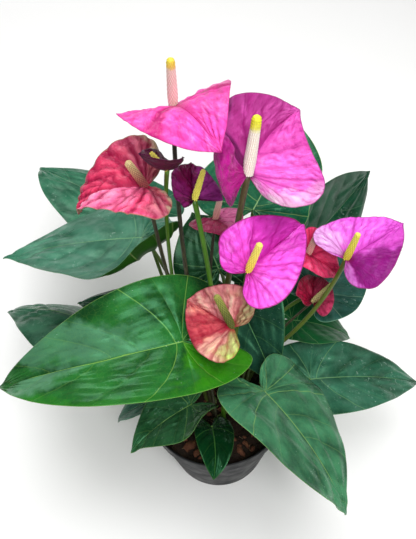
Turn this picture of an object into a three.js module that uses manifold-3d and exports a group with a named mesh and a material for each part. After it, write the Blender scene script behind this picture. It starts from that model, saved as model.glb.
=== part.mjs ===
// Potted anthurium: a nursery pot with potting mix, sixteen heart-shaped leaves and eleven blooms.
// Millimetres, +Z up. The origin is the centre of the pot's underside, and -Y is the front.
import * as THREE from "three";
import { mergeVertices } from "three/addons/utils/BufferGeometryUtils.js";
import Module from "manifold-3d";

const wasm = await Module();
wasm.setup();

// Driving dimensions of the pot and the mix
const POT_HEIGHT = 107;
const LIP_RADIUS = 70;
const BASE_RADIUS = 50.5;
const BAND_HEIGHT = 16;
const BAND_STEP = 1.8;
const POT_WALL = 1.6;
const POT_SIDES = 44;
const DRAIN_HOLES = 6;
const DRAIN_RADIUS = 4;
const DRAIN_CIRCLE = 36;
const MIX_TOP = 97;
const MIX_SIDES = 32;
const MIX_RINGS = 5;
const CRUMB = 1.6;
const FIT = 0.3; // gap between pieces that touch

// Driving dimensions shared by the plant's pieces
const LEAF_THICK = 0.9;
const SPATHE_THICK = 1;
const LEAF_ROWS = 12;
const SPATHE_ROWS = 11;
const STRIPS = 3; // strips of faces on each side of a midrib
const STEM_SIDES = 3; // corners of a stem in a half turn
const STEM_STEPS = 7;
const STEM_DEPTH = 12; // how far a stalk stands in the mix
const PETIOLE_RADIUS = 1.9;
const STALK_RADIUS = 2.1;
const SPADIX_SIDES = 10;
const SPADIX_RINGS = 9;
const FLORET_RELIEF = 0.22;

// Half outlines of the blades. Each point is [along, across, root]: its place along the midrib in
// lengths, its distance from the midrib in half widths, and where its side vein leaves the midrib.
const LEAF_OUTLINE = [
  [0, 0, 0],
  [-0.1, 0.06, 0],
  [-0.25, 0.26, 0],
  [-0.29, 0.58, 0],
  [-0.14, 0.9, 0],
  [0.08, 1, 0.02],
  [0.32, 0.88, 0.14],
  [0.56, 0.62, 0.36],
  [0.78, 0.31, 0.63],
  [0.92, 0.1, 0.87],
  [1, 0, 1],
];
const SPATHE_OUTLINE = [
  [0, 0, 0],
  [-0.12, 0.1, 0],
  [-0.33, 0.32, 0],
  [-0.42, 0.62, 0],
  [-0.28, 0.9, 0],
  [0.02, 1, 0.02],
  [0.32, 0.9, 0.15],
  [0.6, 0.65, 0.38],
  [0.82, 0.36, 0.66],
  [0.94, 0.12, 0.88],
  [1, 0, 1],
];
const SPINE_STEPS = 24;
const BACK_STEPS = 16; // steps by which a midrib is carried back past the junction
const BACK_STEP = 0.05; // in lengths
const LIFT_STEPS = 10; // steps back over which the lift of a lobe is reached
const TUCK_FADE = 0.3; // share of the outline over which a tuck fades out
const LATE = 0.3; // how much more a blade bends towards its tip than at its junction

// Leaves. at: where the leaf stalk meets the blade. heading, pitch, roll: which way the blade sets
// off. Pairs hold the left and the right half: fold at the midrib, curl across, lift of the basal
// lobe, tuck of the basal margin. droop, sway and twist add up from junction to tip. All in degrees.
// tuck_to: the share of the outline at which the tuck is gone.
const LEAVES = [
  {
    name: "front_left", at: [-27, 1, 215], root: [-8, 1], length: 190, width: 120,
    heading: 198, pitch: 10, roll: -33, lobe: [0.9, 0.9], fold: [28, 0], curl: [35, -6],
    droop: 65, twist: 10, lift: [-20, -45], bend: [2, 27],
  },
  {
    name: "front_right", at: [43, -25, 165], root: [13, -7], length: 135, width: 123,
    heading: -53, pitch: 2, roll: -24, lobe: [0.71, 0.58], fold: [6, 19], curl: [-23, -10],
    droop: 58, sway: 19, lift: [67, 16], bend: [0, 0], twist: 2, tuck: [3, -21], tuck_to: 0.53,
  },
  {
    name: "right", at: [93, 8, 120], root: [-27, -34], length: 144, width: 84,
    heading: 6, pitch: -6, roll: 5, fold: [8, 11], curl: [-12, 0], droop: 43, twist: 9, bend: [-60, 0],
  },
  {
    name: "young_front", at: [-6, -42, 132], root: [-6, -21], length: 54, width: 36,
    heading: -80, pitch: 35, roll: -12, fold: [15, 15], droop: 70, sway: -10, bend: [0, 0],
  },
  {
    name: "low_left", at: [-24, -23, 142], root: [-7, -7], length: 71, width: 78,
    heading: 202, pitch: -9, roll: 23, fold: [2, 12], droop: 17, twist: -9, bend: [0, 0], sway: 18, curl: [-7, 3], lift: [-36, 0], tuck: [63, 0], lobe: [0.94, 1.0], tuck_to: 0.64,
  },
  {
    name: "left", at: [-114, 68, 140], root: [-13, -3], length: 144, width: 114,
    heading: 147, pitch: -1, roll: 22, fold: [-11, -23], droop: 44, bend: [51, -31], sway: 0, twist: -16, curl: [-2, -20], lift: [0, 0], lobe: [1.0, 1.0],
  },
  {
    name: "upper_left", at: [-65, 124, 212], root: [5, 16], length: 150, width: 169,
    heading: 171, pitch: -9, roll: 15, fold: [-18, 15], curl: [46, -25], droop: 10, sway: 10,
    twist: 23, lift: [74, -13], bend: [9, 35], tuck: [66, -83], lobe: [1.54, 0.67], tuck_to: 0.58,
  },
  {
    name: "back_left", at: [-73, 206, 156], root: [16, -37], length: 173, width: 133,
    heading: 154, pitch: 11, roll: 8, lobe: [0.8, 0.73], fold: [5, 0], droop: 31, sway: -32, bend: [15, -77], twist: 7, curl: [-13, -14], lift: [0, -2], tuck: [86, -2], tuck_to: 0.63,
  },
  {
    name: "back_right", at: [93, 132, 166], root: [21, 5], length: 175, width: 107,
    heading: 45, pitch: 2, roll: 55, fold: [14, 2], droop: 25, twist: -16, lift: [0, 0], bend: [-39, -39], lobe: [0.4, 0.4], sway: -5, curl: [18, -6], tuck: [0, -2], tuck_to: 0.5,
  },
  {
    name: "back", at: [44, 129, 238], root: [13, 33], length: 136, width: 129,
    heading: 59, pitch: 6, roll: -14, lobe: [0.62, 0.42], fold: [17, 10], droop: -10,
    lift: [3, -26], bend: [0, -1], sway: 28, twist: 21, curl: [1, 18], tuck: [-5, -81], tuck_to: 0.53,
  },
  {
    name: "right_low", at: [80, 66, 139], root: [28, 18], length: 88, width: 64,
    heading: 0, pitch: -15, roll: 0, fold: [8, 15], droop: 48, sway: 8, bend: [-30, -25],
  },
  {
    name: "centre", at: [24, 71, 178], root: [8, 22], length: 96, width: 84,
    heading: -67, pitch: -20, roll: 10, fold: [19, 10], droop: 30, bend: [-6, -5],
  },
  {
    name: "centre_back", at: [8, 82, 210], root: [1, 28], length: 84, width: 82,
    heading: 107, pitch: 6, roll: -4, fold: [5, 7], droop: 22, bend: [16, 33],
  },
  {
    name: "sliver_left", at: [-58, 73, 152], root: [-19, 21], length: 99, width: 71,
    heading: 156, pitch: -3, roll: 10, fold: [6, 7], droop: 28, bend: [2, -6], sway: -4, twist: 0, curl: [-1, 4], lift: [0, 1], lobe: [1.0, 0.94],
  },
  {
    name: "sliver_low", at: [-51, -1, 115], root: [-19, -4], length: 75, width: 33,
    heading: 185, pitch: -11, roll: 3, fold: [20, 13], droop: 67, bend: [0, 0], sway: -3, twist: -15, curl: [14, -1], lift: [0, -1], tuck: [0, -1], lobe: [1.0, 0.97], tuck_to: 0.5,
  },
  {
    name: "grey_right", at: [104, 72, 177], root: [26, -2], length: 95, width: 78,
    heading: 45, pitch: -10, roll: 15, fold: [13, 15], bend: [-50, 20],
  },
];

// Blooms, in the same terms. spadix: [heading, pitch, length, base radius, tip radius].
const BLOOMS = [
  {
    name: "top", at: [-22, 110, 380], root: [-2, -17], length: 80, width: 90,
    heading: -64, pitch: 37, roll: -4, lobe: [0.32, 0.25], fold: [10, 7], curl: [-4, 0],
    droop: 60, sway: -8, twist: 38, lift: [-75, -74], spadix: [-79, 81, 48, 4.0, 2.8],
    colour: 0xd63fa0, bend: [-13, -7],
  },
  {
    name: "large", at: [33, 75, 338], root: [7, 10], length: 73, width: 122,
    heading: 70, pitch: 16, roll: 59, lobe: [1.76, 0.6], fold: [-3, 40], droop: -36, lift: [28, -13],
    tuck: [-10, 53], spadix: [60, 73, 50, 4.8, 3.4], colour: 0xc22f9e, bend: [-27, -45], curl: [31, 33], sway: -28, twist: -28,
  },
  {
    name: "left", at: [-47, 70, 335], root: [-14, 21], length: 62, width: 92,
    heading: 189, pitch: 18, roll: 3, lobe: [0.6, 0.6], fold: [31, 17], curl: [-44, 12],
    droop: 70, sway: -5, twist: 15, lift: [24, 7], spadix: [-161, 70, 33, 3.5, 2.6],
    colour: 0xc7355f, bend: [1, 0],
  },
  {
    name: "centre", at: [30, 24, 280], root: [8, 3], length: 68, width: 80,
    heading: 44, pitch: 5, roll: 20, fold: [36, 27], curl: [-5, -6], droop: 5, sway: -9,
    twist: -13, lift: [41, 20], spadix: [16, 73, 33, 3.2, 2.5], colour: 0xcf3cc0, bend: [-8, 1],
  },
  {
    name: "low", at: [16, 0, 236], root: [4, -1], length: 50, width: 72,
    heading: 139, pitch: -3, roll: -9, fold: [11, 38], curl: [-9, 12], droop: 5, twist: -8,
    lift: [15, 32], spadix: [142, 64, 37, 3.4, 2.5], colour: 0xb9696a, bend: [-6, 21],
  },
  {
    name: "right", at: [118, 53, 252], root: [6, 32], length: 64, width: 78,
    heading: 30, pitch: 2, roll: 7, lobe: [0.55, 0.55], fold: [19, 20], curl: [-35, -11],
    droop: -9, twist: -6, lift: [13, -13], spadix: [32, 73, 30, 3.3, 2.2], colour: 0xc04bb4, bend: [-7, -25],
  },
  {
    name: "right_low", at: [94, 50, 193], root: [12, 15], length: 36, width: 42,
    heading: 78, pitch: 2, roll: 2, fold: [38, 30], droop: 27, lift: [44, -17],
    spadix: [13, 53, 29, 2.7, 1.9], colour: 0x8c1f38, bend: [-39, -10],
  },
  {
    name: "right_back", at: [91, 79, 230], root: [19, 30], length: 40, width: 48,
    heading: -17, pitch: -39, roll: 7, fold: [26, 22], lift: [7, 2],
    spadix: [-2, 80, 23, 2.9, 2.1], colour: 0xd1426c, bend: [-38, 12],
  },
  {
    name: "dark", at: [-10, 68, 320], root: [5, -27], length: 37, width: 50,
    heading: 96, pitch: 24, roll: 11, lobe: [0.54, 0.09], fold: [24, 5], curl: [24, -27],
    droop: 31, sway: -12, twist: -18, lift: [-8, 9], spadix: [46, 62, 27, 2.8, 1.8],
    colour: 0x571040, bend: [17, -38], tuck: [30, -13], tuck_to: 0.56,
  },
  {
    name: "small_dark", at: [-28, 55, 366], root: [-24, 11], length: 32, width: 40,
    heading: 210, pitch: 35, roll: 16, lobe: [0.99, 0.9], fold: [39, 27], droop: -39, sway: -1,
    spadix: [152, 46, 18, 1.9, 1.5], colour: 0x3f0a2a, bend: [-18, 64], lift: [59, 6], twist: -14, curl: [9, 1], tuck: [18, -39], tuck_to: 0.55,
  },
  {
    name: "middle_pink", at: [7, 95, 266], root: [2, -35], length: 36, width: 48,
    heading: -61, pitch: 27, roll: -4, droop: 15,
    spadix: [-2, 80, 27, 2.9, 2.1], colour: 0xb43a5c, bend: [-20, -51],
  },
];

const radians = THREE.MathUtils.degToRad;

function finish(colour, roughness) {
  return new THREE.MeshStandardMaterial({ color: colour, roughness, metalness: 0 });
}

// A three.js geometry as a solid, and back.
function solid(geometry) {
  const bare = geometry.clone();
  bare.deleteAttribute("normal");
  bare.deleteAttribute("uv");
  const merged = mergeVertices(bare, 1e-3);
  return new wasm.Manifold(
    new wasm.Mesh({
      numProp: 3,
      vertProperties: new Float32Array(merged.attributes.position.array),
      triVerts: new Uint32Array(merged.index.array),
    }),
  );
}

// The largest of the pieces a cut leaves; the others are scrap.
function toMesh(name, body, material) {
  const pieces = body.decompose().sort((a, b) => b.volume() - a.volume());
  const raw = pieces[0].getMesh();
  const geometry = new THREE.BufferGeometry();
  geometry.setAttribute("position", new THREE.BufferAttribute(raw.vertProperties, raw.numProp));
  geometry.setIndex(new THREE.BufferAttribute(raw.triVerts, 1));
  const mesh = new THREE.Mesh(geometry, material);
  mesh.name = name;
  return mesh;
}

function geometryOf(points, faces) {
  const geometry = new THREE.BufferGeometry();
  const flat = points.flatMap((p) => [p.x, p.y, p.z]);
  geometry.setAttribute("position", new THREE.Float32BufferAttribute(flat, 3));
  geometry.setIndex(faces.flat());
  return geometry;
}

// A smooth value from a table of points, evenly in the table's own steps (Catmull-Rom).
function through(points, share) {
  const t = share * (points.length - 1);
  const i = Math.min(Math.floor(t), points.length - 2);
  const x = t - i;
  const get = (k, axis) => {
    if (k < 0) return 2 * points[0][axis] - points[1][axis];
    if (k >= points.length) return 2 * points[k - 1][axis] - points[k - 2][axis];
    return points[k][axis];
  };
  return [0, 1, 2].map((axis) => {
    const [a, b, c, d] = [i - 1, i, i + 1, i + 2].map((k) => get(k, axis));
    return b + 0.5 * x * (c - a + x * (2 * a - 5 * b + 4 * c - d + x * (3 * (b - c) + d - a)));
  });
}

// Turns the first vector towards the second by an angle, and the second along with it.
function turn(a, b, angle) {
  const cos = Math.cos(angle);
  const sin = Math.sin(angle);
  const first = a.clone().multiplyScalar(cos).addScaledVector(b, sin);
  const second = b.clone().multiplyScalar(cos).addScaledVector(a, -sin);
  return [first, second];
}

function direction(heading, pitch) {
  const h = radians(heading);
  const p = radians(pitch);
  return new THREE.Vector3(Math.cos(h) * Math.cos(p), Math.sin(h) * Math.cos(p), Math.sin(p));
}

// The midrib as stations {u, centre, left, up}: back past the junction, bent up by the lift of the
// lobe, then on to the tip, with droop, sway and twist shared out along it.
function midrib(blade, lift) {
  const start = new THREE.Vector3(...blade.at);
  const ahead0 = direction(blade.heading, blade.pitch);
  const level = new THREE.Vector3(-Math.sin(radians(blade.heading)), Math.cos(radians(blade.heading)), 0);
  const [left0, up0] = turn(level, ahead0.clone().cross(level), radians(blade.roll ?? 0));
  const stations = [{ u: 0, centre: start, left: left0, up: up0 }];
  let [ahead, left, up, centre] = [ahead0, left0, up0, start];
  for (let k = 1; k <= BACK_STEPS; k++) {
    [ahead, up] = turn(ahead, up, -radians(lift) / LIFT_STEPS);
    centre = centre.clone().addScaledVector(ahead, -blade.length * BACK_STEP);
    stations.unshift({ u: -BACK_STEP * k, centre, left, up });
  }
  [ahead, left, up, centre] = [ahead0, left0, up0, start];
  for (let k = 1; k <= SPINE_STEPS; k++) {
    const share = (1 + LATE * ((2 * k - 1) / SPINE_STEPS - 1)) / SPINE_STEPS;
    [ahead, up] = turn(ahead, up, -radians(blade.droop ?? 0) * share);
    [ahead, left] = turn(ahead, left, radians(blade.sway ?? 0) * share);
    [left, up] = turn(left, up, radians(blade.twist ?? 0) * share);
    centre = centre.clone().addScaledVector(ahead, blade.length / SPINE_STEPS);
    stations.push({ u: k / SPINE_STEPS, centre, left, up });
  }
  return stations;
}

function station(stations, u) {
  let k = stations.findIndex((s) => s.u >= u);
  if (k < 0) k = stations.length - 1;
  k = Math.max(k, 1);
  const [a, b] = [stations[k - 1], stations[k]];
  const x = (u - a.u) / (b.u - a.u);
  const mix = (key) => a[key].clone().lerp(b[key], x);
  return { centre: mix("centre"), left: mix("left"), up: mix("up") };
}

// How strongly the tuck of the basal margin acts at a row: fully at the sinus, gone by the share "end".
function tuckShare(share, end) {
  const x = THREE.MathUtils.clamp((end - share) / TUCK_FADE, 0, 1);
  return x * x * (3 - 2 * x);
}

// A blade's middle surface as rows from the sinus to the tip, each from the right margin over the
// midrib to the left margin. A row follows a side vein. Across it the section is an arc that sets
// off at the fold angle and turns by the curl angle in a half width.
function bladeRows(blade, outline, rows) {
  const pair = (key, other) => blade[key] ?? [other, other];
  const halves = [1, 0].map((side) => {
    const sign = side === 0 ? 1 : -1;
    const spine = midrib(blade, pair("lift", 0)[side]);
    const fold = radians(pair("fold", 0)[side]);
    return Array.from({ length: rows }, (_, i) => {
      const share = i / (rows - 1);
      let [along, across, root] = through(outline, share);
      if (along < 0) along *= pair("lobe", 1)[side];
      root = Math.max(root, 0);
      const curl = radians(pair("curl", 0)[side] + pair("tuck", 0)[side] * tuckShare(share, blade.tuck_to ?? 0.5)) + 1e-5;
      return Array.from({ length: STRIPS + 1 }, (_, j) => {
        const t = j / STRIPS;
        const angle = fold + curl * across * t;
        const out = (blade.width / 2 / curl) * (Math.sin(angle) - Math.sin(fold));
        const rise = (blade.width / 2 / curl) * (Math.cos(fold) - Math.cos(angle));
        const s = station(spine, root + (along - root) * t);
        return s.centre.addScaledVector(s.left, sign * out).addScaledVector(s.up, rise);
      });
    });
  });
  return halves[0].map((right, i) => [...right.slice(1).reverse(), ...halves[1][i]]);
}

// A closed body of even thickness round a middle surface. Both faces have the same triangles.
function bladeBody(blade, outline, rows, thick) {
  const grid = bladeRows(blade, outline, rows);
  const points = [];
  const ids = grid.map((row) =>
    row.map((p) => {
      const known = points.findIndex((q) => q.distanceTo(p) < 1e-4);
      return known >= 0 ? known : points.push(p) - 1;
    }),
  );
  const faces = [];
  for (let i = 0; i + 1 < ids.length; i++) {
    for (let j = 0; j + 1 < ids[i].length; j++) {
      const [a, b, c, d] = [ids[i][j], ids[i][j + 1], ids[i + 1][j + 1], ids[i + 1][j]];
      faces.push([a, b, c], [a, c, d]);
    }
  }
  const sound = faces.filter(([a, b, c]) => a !== b && b !== c && a !== c);
  const surface = geometryOf(points, sound);
  surface.computeVertexNormals();
  const normals = surface.attributes.normal;
  const shifted = (side) =>
    points.map((p, k) => {
      const n = new THREE.Vector3().fromBufferAttribute(normals, k);
      return p.clone().addScaledVector(n, (side * thick) / 2);
    });
  const count = points.length;
  const right = ids.map((row) => row[0]);
  const left = ids.map((row) => row[row.length - 1]);
  const rim = [...right, ...left.slice(1, -1).reverse()];
  const edge = rim.flatMap((a, k) => {
    const b = rim[(k + 1) % rim.length];
    return [
      [a, b, b + count],
      [a, b + count, a + count],
    ];
  });
  const under = sound.map(([a, b, c]) => [a + count, c + count, b + count]);
  const all = [...shifted(1), ...shifted(-1)];
  return solid(geometryOf(all, [...sound, ...under, ...edge]));
}

// A stem's line: up out of the mix, leaning out, and steeper again below its top. Its bend is how far
// its middle is pushed aside in x and y.
function stemLine(piece, outward, upright, cut) {
  const top = new THREE.Vector3(...piece.at);
  const foot = new THREE.Vector3(...piece.root, MIX_TOP - STEM_DEPTH);
  const reach = top.clone().sub(foot);
  const bend = new THREE.Vector3(
    top.x - outward * reach.x + piece.bend[0],
    top.y - outward * reach.y + piece.bend[1],
    top.z - upright * reach.z,
  );
  const ahead = top.clone().sub(bend).normalize();
  const end = top.clone().addScaledVector(ahead, -cut);
  return new THREE.QuadraticBezierCurve3(foot, bend, end);
}

function stemBody(line, radius) {
  const section = new THREE.Shape();
  section.absarc(0, 0, radius, 0, 2 * Math.PI);
  return solid(
    new THREE.ExtrudeGeometry(section, {
      steps: STEM_STEPS,
      curveSegments: STEM_SIDES,
      extrudePath: line,
      bevelEnabled: false,
    }),
  );
}

// A spadix: a tapered round spike with a domed end. Every other corner stands out as a floret.
function spadixBody(bloom, grow) {
  const [heading, pitch, length, base, tip] = bloom.spadix;
  const foot = new THREE.Vector3(...bloom.at);
  const axis = direction(heading, pitch);
  const side = new THREE.Vector3(0, 1, 0).cross(axis).normalize();
  const other = axis.clone().cross(side);
  const points = [];
  const faces = [];
  for (let i = 0; i <= SPADIX_RINGS; i++) {
    const share = i / SPADIX_RINGS;
    const dome = Math.sqrt(1 - THREE.MathUtils.clamp((share - 0.9) / 0.1, 0, 0.95) ** 2);
    const round = (base + (tip - base) * share) * dome;
    for (let j = 0; j < SPADIX_SIDES; j++) {
      const relief = (i + j) % 2 ? FLORET_RELIEF : 0;
      const angle = (2 * Math.PI * j) / SPADIX_SIDES;
      const reach = round + relief + grow;
      points.push(
        foot.clone()
          .addScaledVector(axis, share * length + (i === 0 ? -grow : 0))
          .addScaledVector(side, reach * Math.cos(angle))
          .addScaledVector(other, reach * Math.sin(angle)),
      );
    }
  }
  for (let i = 0; i < SPADIX_RINGS; i++) {
    for (let j = 0; j < SPADIX_SIDES; j++) {
      const k = (j + 1) % SPADIX_SIDES;
      const [a, b] = [i * SPADIX_SIDES + j, i * SPADIX_SIDES + k];
      const [d, c] = [a + SPADIX_SIDES, b + SPADIX_SIDES];
      if ((i + j) % 2) faces.push([a, b, d], [b, c, d]);
      else faces.push([a, b, c], [a, c, d]);
    }
  }
  const last = SPADIX_RINGS * SPADIX_SIDES;
  const bottom = points.push(foot.clone().addScaledVector(axis, -grow)) - 1;
  const summit = points.push(foot.clone().addScaledVector(axis, length + 0.4)) - 1;
  for (let j = 0; j < SPADIX_SIDES; j++) {
    const k = (j + 1) % SPADIX_SIDES;
    faces.push([bottom, k, j], [summit, last + j, last + k]);
  }
  return solid(geometryOf(points, faces));
}

function lathe(profile, sides) {
  const turned = new THREE.LatheGeometry(profile.map(([r, z]) => new THREE.Vector2(r, z)), sides);
  return turned.rotateX(Math.PI / 2);
}

function cylinder(radius, height, sides, x, y, z) {
  return solid(
    new THREE.CylinderGeometry(radius, radius, height, sides).rotateX(Math.PI / 2).translate(x, y, z),
  );
}

// The pot: one tapered wall with a wider band below its lip, and drain holes round the base.
function potBody() {
  const bandFoot = POT_HEIGHT - BAND_HEIGHT;
  const bodyTop = LIP_RADIUS - BAND_STEP - 1.2;
  const outer = [
    [0, 0],
    [BASE_RADIUS, 0],
    [bodyTop, bandFoot],
    [LIP_RADIUS - 1, bandFoot + 0.6],
    [LIP_RADIUS, POT_HEIGHT - 1],
    [LIP_RADIUS - 0.4, POT_HEIGHT],
  ];
  const inner = [
    [LIP_RADIUS - POT_WALL, POT_HEIGHT],
    [LIP_RADIUS - POT_WALL - 0.6, bandFoot + 2.6],
    [bodyTop - POT_WALL, bandFoot],
    [BASE_RADIUS - POT_WALL, 2],
    [0, 2],
  ];
  let body = solid(lathe([...outer, ...inner], POT_SIDES));
  for (let k = 0; k < DRAIN_HOLES; k++) {
    const angle = (2 * Math.PI * (k + 0.5)) / DRAIN_HOLES;
    const [x, y] = [DRAIN_CIRCLE * Math.cos(angle), DRAIN_CIRCLE * Math.sin(angle)];
    body = body.subtract(cylinder(DRAIN_RADIUS, 10, 12, x, y, 0));
  }
  return body;
}

// The mix fills the pot to a little below its lip. Its top is rough by a sum of slow waves.
function mixBody(stems) {
  const bandFoot = POT_HEIGHT - BAND_HEIGHT;
  const bodyTop = LIP_RADIUS - BAND_STEP - 1.2 - POT_WALL - FIT;
  const foot = BASE_RADIUS - POT_WALL - FIT;
  const edge = bodyTop + 0.2;
  const top = Array.from({ length: MIX_RINGS }, (_, k) => [
    edge * (1 - (k + 1) / MIX_RINGS),
    MIX_TOP,
  ]);
  const profile = [[0, 2 + FIT], [foot, 2 + FIT], [bodyTop, bandFoot], [edge, MIX_TOP - 2], ...top];
  const geometry = lathe(profile, MIX_SIDES);
  const place = geometry.attributes.position;
  for (let i = 0; i < place.count; i++) {
    const [x, y, z] = [place.getX(i), place.getY(i), place.getZ(i)];
    if (z < MIX_TOP - 1) continue;
    const wave = Math.sin(x / 4.7 + 1) * Math.cos(y / 5.3) + 0.6 * Math.sin((x - 2 * y) / 7.1);
    place.setZ(i, z + CRUMB * wave);
  }
  return stems.reduce((body, stem) => body.subtract(stem), solid(geometry));
}

const plant = new THREE.Group();
const stems = [];
const leafGreen = finish(0x1f5a2e, 0.4);
const stalkGreen = finish(0x5a6b28, 0.5);
const spadixCream = finish(0xe2cf5e, 0.6);

for (const leaf of LEAVES) {
  const line = stemLine(leaf, 0.15, 0.45, 0);
  const blade = bladeBody(leaf, LEAF_OUTLINE, LEAF_ROWS, LEAF_THICK);
  plant.add(toMesh("leaf_" + leaf.name, blade.add(stemBody(line, PETIOLE_RADIUS)), leafGreen));
  stems.push(stemBody(line, PETIOLE_RADIUS + FIT));
}

for (const bloom of BLOOMS) {
  const line = stemLine(bloom, 0.2, 0.5, FIT);
  const stalk = stemBody(line, STALK_RADIUS);
  const spadix = spadixBody(bloom, 0).subtract(stemBody(line, STALK_RADIUS + FIT));
  const hole = spadixBody(bloom, FIT).add(stemBody(stemLine(bloom, 0.2, 0.5, 0), STALK_RADIUS + FIT));
  const spathe = bladeBody(bloom, SPATHE_OUTLINE, SPATHE_ROWS, SPATHE_THICK).subtract(hole);
  plant.add(toMesh("stalk_" + bloom.name, stalk, stalkGreen));
  plant.add(toMesh("spathe_" + bloom.name, spathe, finish(bloom.colour, 0.3)));
  plant.add(toMesh("spadix_" + bloom.name, spadix, spadixCream));
  stems.push(stemBody(line, STALK_RADIUS + FIT));
}

plant.add(toMesh("pot", potBody(), finish(0x2c2c30, 0.5)));
plant.add(toMesh("potting_mix", mixBody(stems), finish(0x2a1b12, 0.95)));

export default plant;
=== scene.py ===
"""Potted anthurium: its looks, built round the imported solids.

The tables give the plant in millimetres, as the part's source does. Every mesh is in metres, in the
frame of the solids: +Z up, the origin under the middle of the pot, -Y towards the front.
"""

import math
from collections import namedtuple

import bpy
import numpy as np
from bpy.props import FloatProperty, FloatVectorProperty, IntProperty, PointerProperty
from bpy.types import Operator, Panel, PropertyGroup
from mathutils import Matrix


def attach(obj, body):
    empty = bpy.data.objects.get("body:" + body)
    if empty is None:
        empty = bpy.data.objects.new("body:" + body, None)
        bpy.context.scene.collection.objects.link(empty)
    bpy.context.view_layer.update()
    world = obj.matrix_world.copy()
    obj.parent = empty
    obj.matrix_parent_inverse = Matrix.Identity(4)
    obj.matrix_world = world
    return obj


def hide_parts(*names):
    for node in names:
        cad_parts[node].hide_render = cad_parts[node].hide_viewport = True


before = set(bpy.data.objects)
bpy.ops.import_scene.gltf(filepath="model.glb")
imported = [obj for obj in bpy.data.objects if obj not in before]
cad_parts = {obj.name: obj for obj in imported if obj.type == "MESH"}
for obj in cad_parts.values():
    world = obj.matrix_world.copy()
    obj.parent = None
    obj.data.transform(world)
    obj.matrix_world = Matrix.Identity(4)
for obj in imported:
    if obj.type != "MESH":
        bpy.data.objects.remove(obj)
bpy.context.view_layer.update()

bl_info = {
    "name": "Potted anthurium",
    "version": (1, 0, 0),
    "blender": (4, 5, 0),
    "location": "View3D > Sidebar > Anthurium",
    "description": "Builds the pot, the mix, the leaves and the blooms of a potted anthurium",
    "category": "Add Mesh",
}

MM = 0.001

# Half outlines of the blades. Each point is (along, across, root): its place along the midrib in
# lengths, its distance from the midrib in half widths, and where its side vein leaves the midrib.
LEAF_OUTLINE = (
    (0, 0, 0),
    (-0.1, 0.06, 0),
    (-0.25, 0.26, 0),
    (-0.29, 0.58, 0),
    (-0.14, 0.9, 0),
    (0.08, 1, 0),
    (0.32, 0.88, 0.07),
    (0.56, 0.62, 0.25),
    (0.78, 0.31, 0.54),
    (0.92, 0.1, 0.84),
    (1, 0, 1),
)
YOUNG_OUTLINE = (
    (0, 0, 0),
    (-0.1, 0.06, 0),
    (-0.24, 0.26, 0),
    (-0.26, 0.58, 0),
    (-0.12, 0.88, 0),
    (0.1, 1, 0),
    (0.34, 0.99, 0.07),
    (0.57, 0.84, 0.25),
    (0.78, 0.52, 0.54),
    (0.92, 0.19, 0.84),
    (1, 0, 1),
)
SPATHE_OUTLINE = (
    (0, 0, 0),
    (-0.12, 0.1, 0),
    (-0.33, 0.32, 0),
    (-0.42, 0.62, 0),
    (-0.28, 0.9, 0),
    (0.02, 1, 0),
    (0.32, 0.9, 0.04),
    (0.6, 0.65, 0.17),
    (0.82, 0.36, 0.44),
    (0.94, 0.12, 0.78),
    (1, 0, 1),
)

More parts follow.
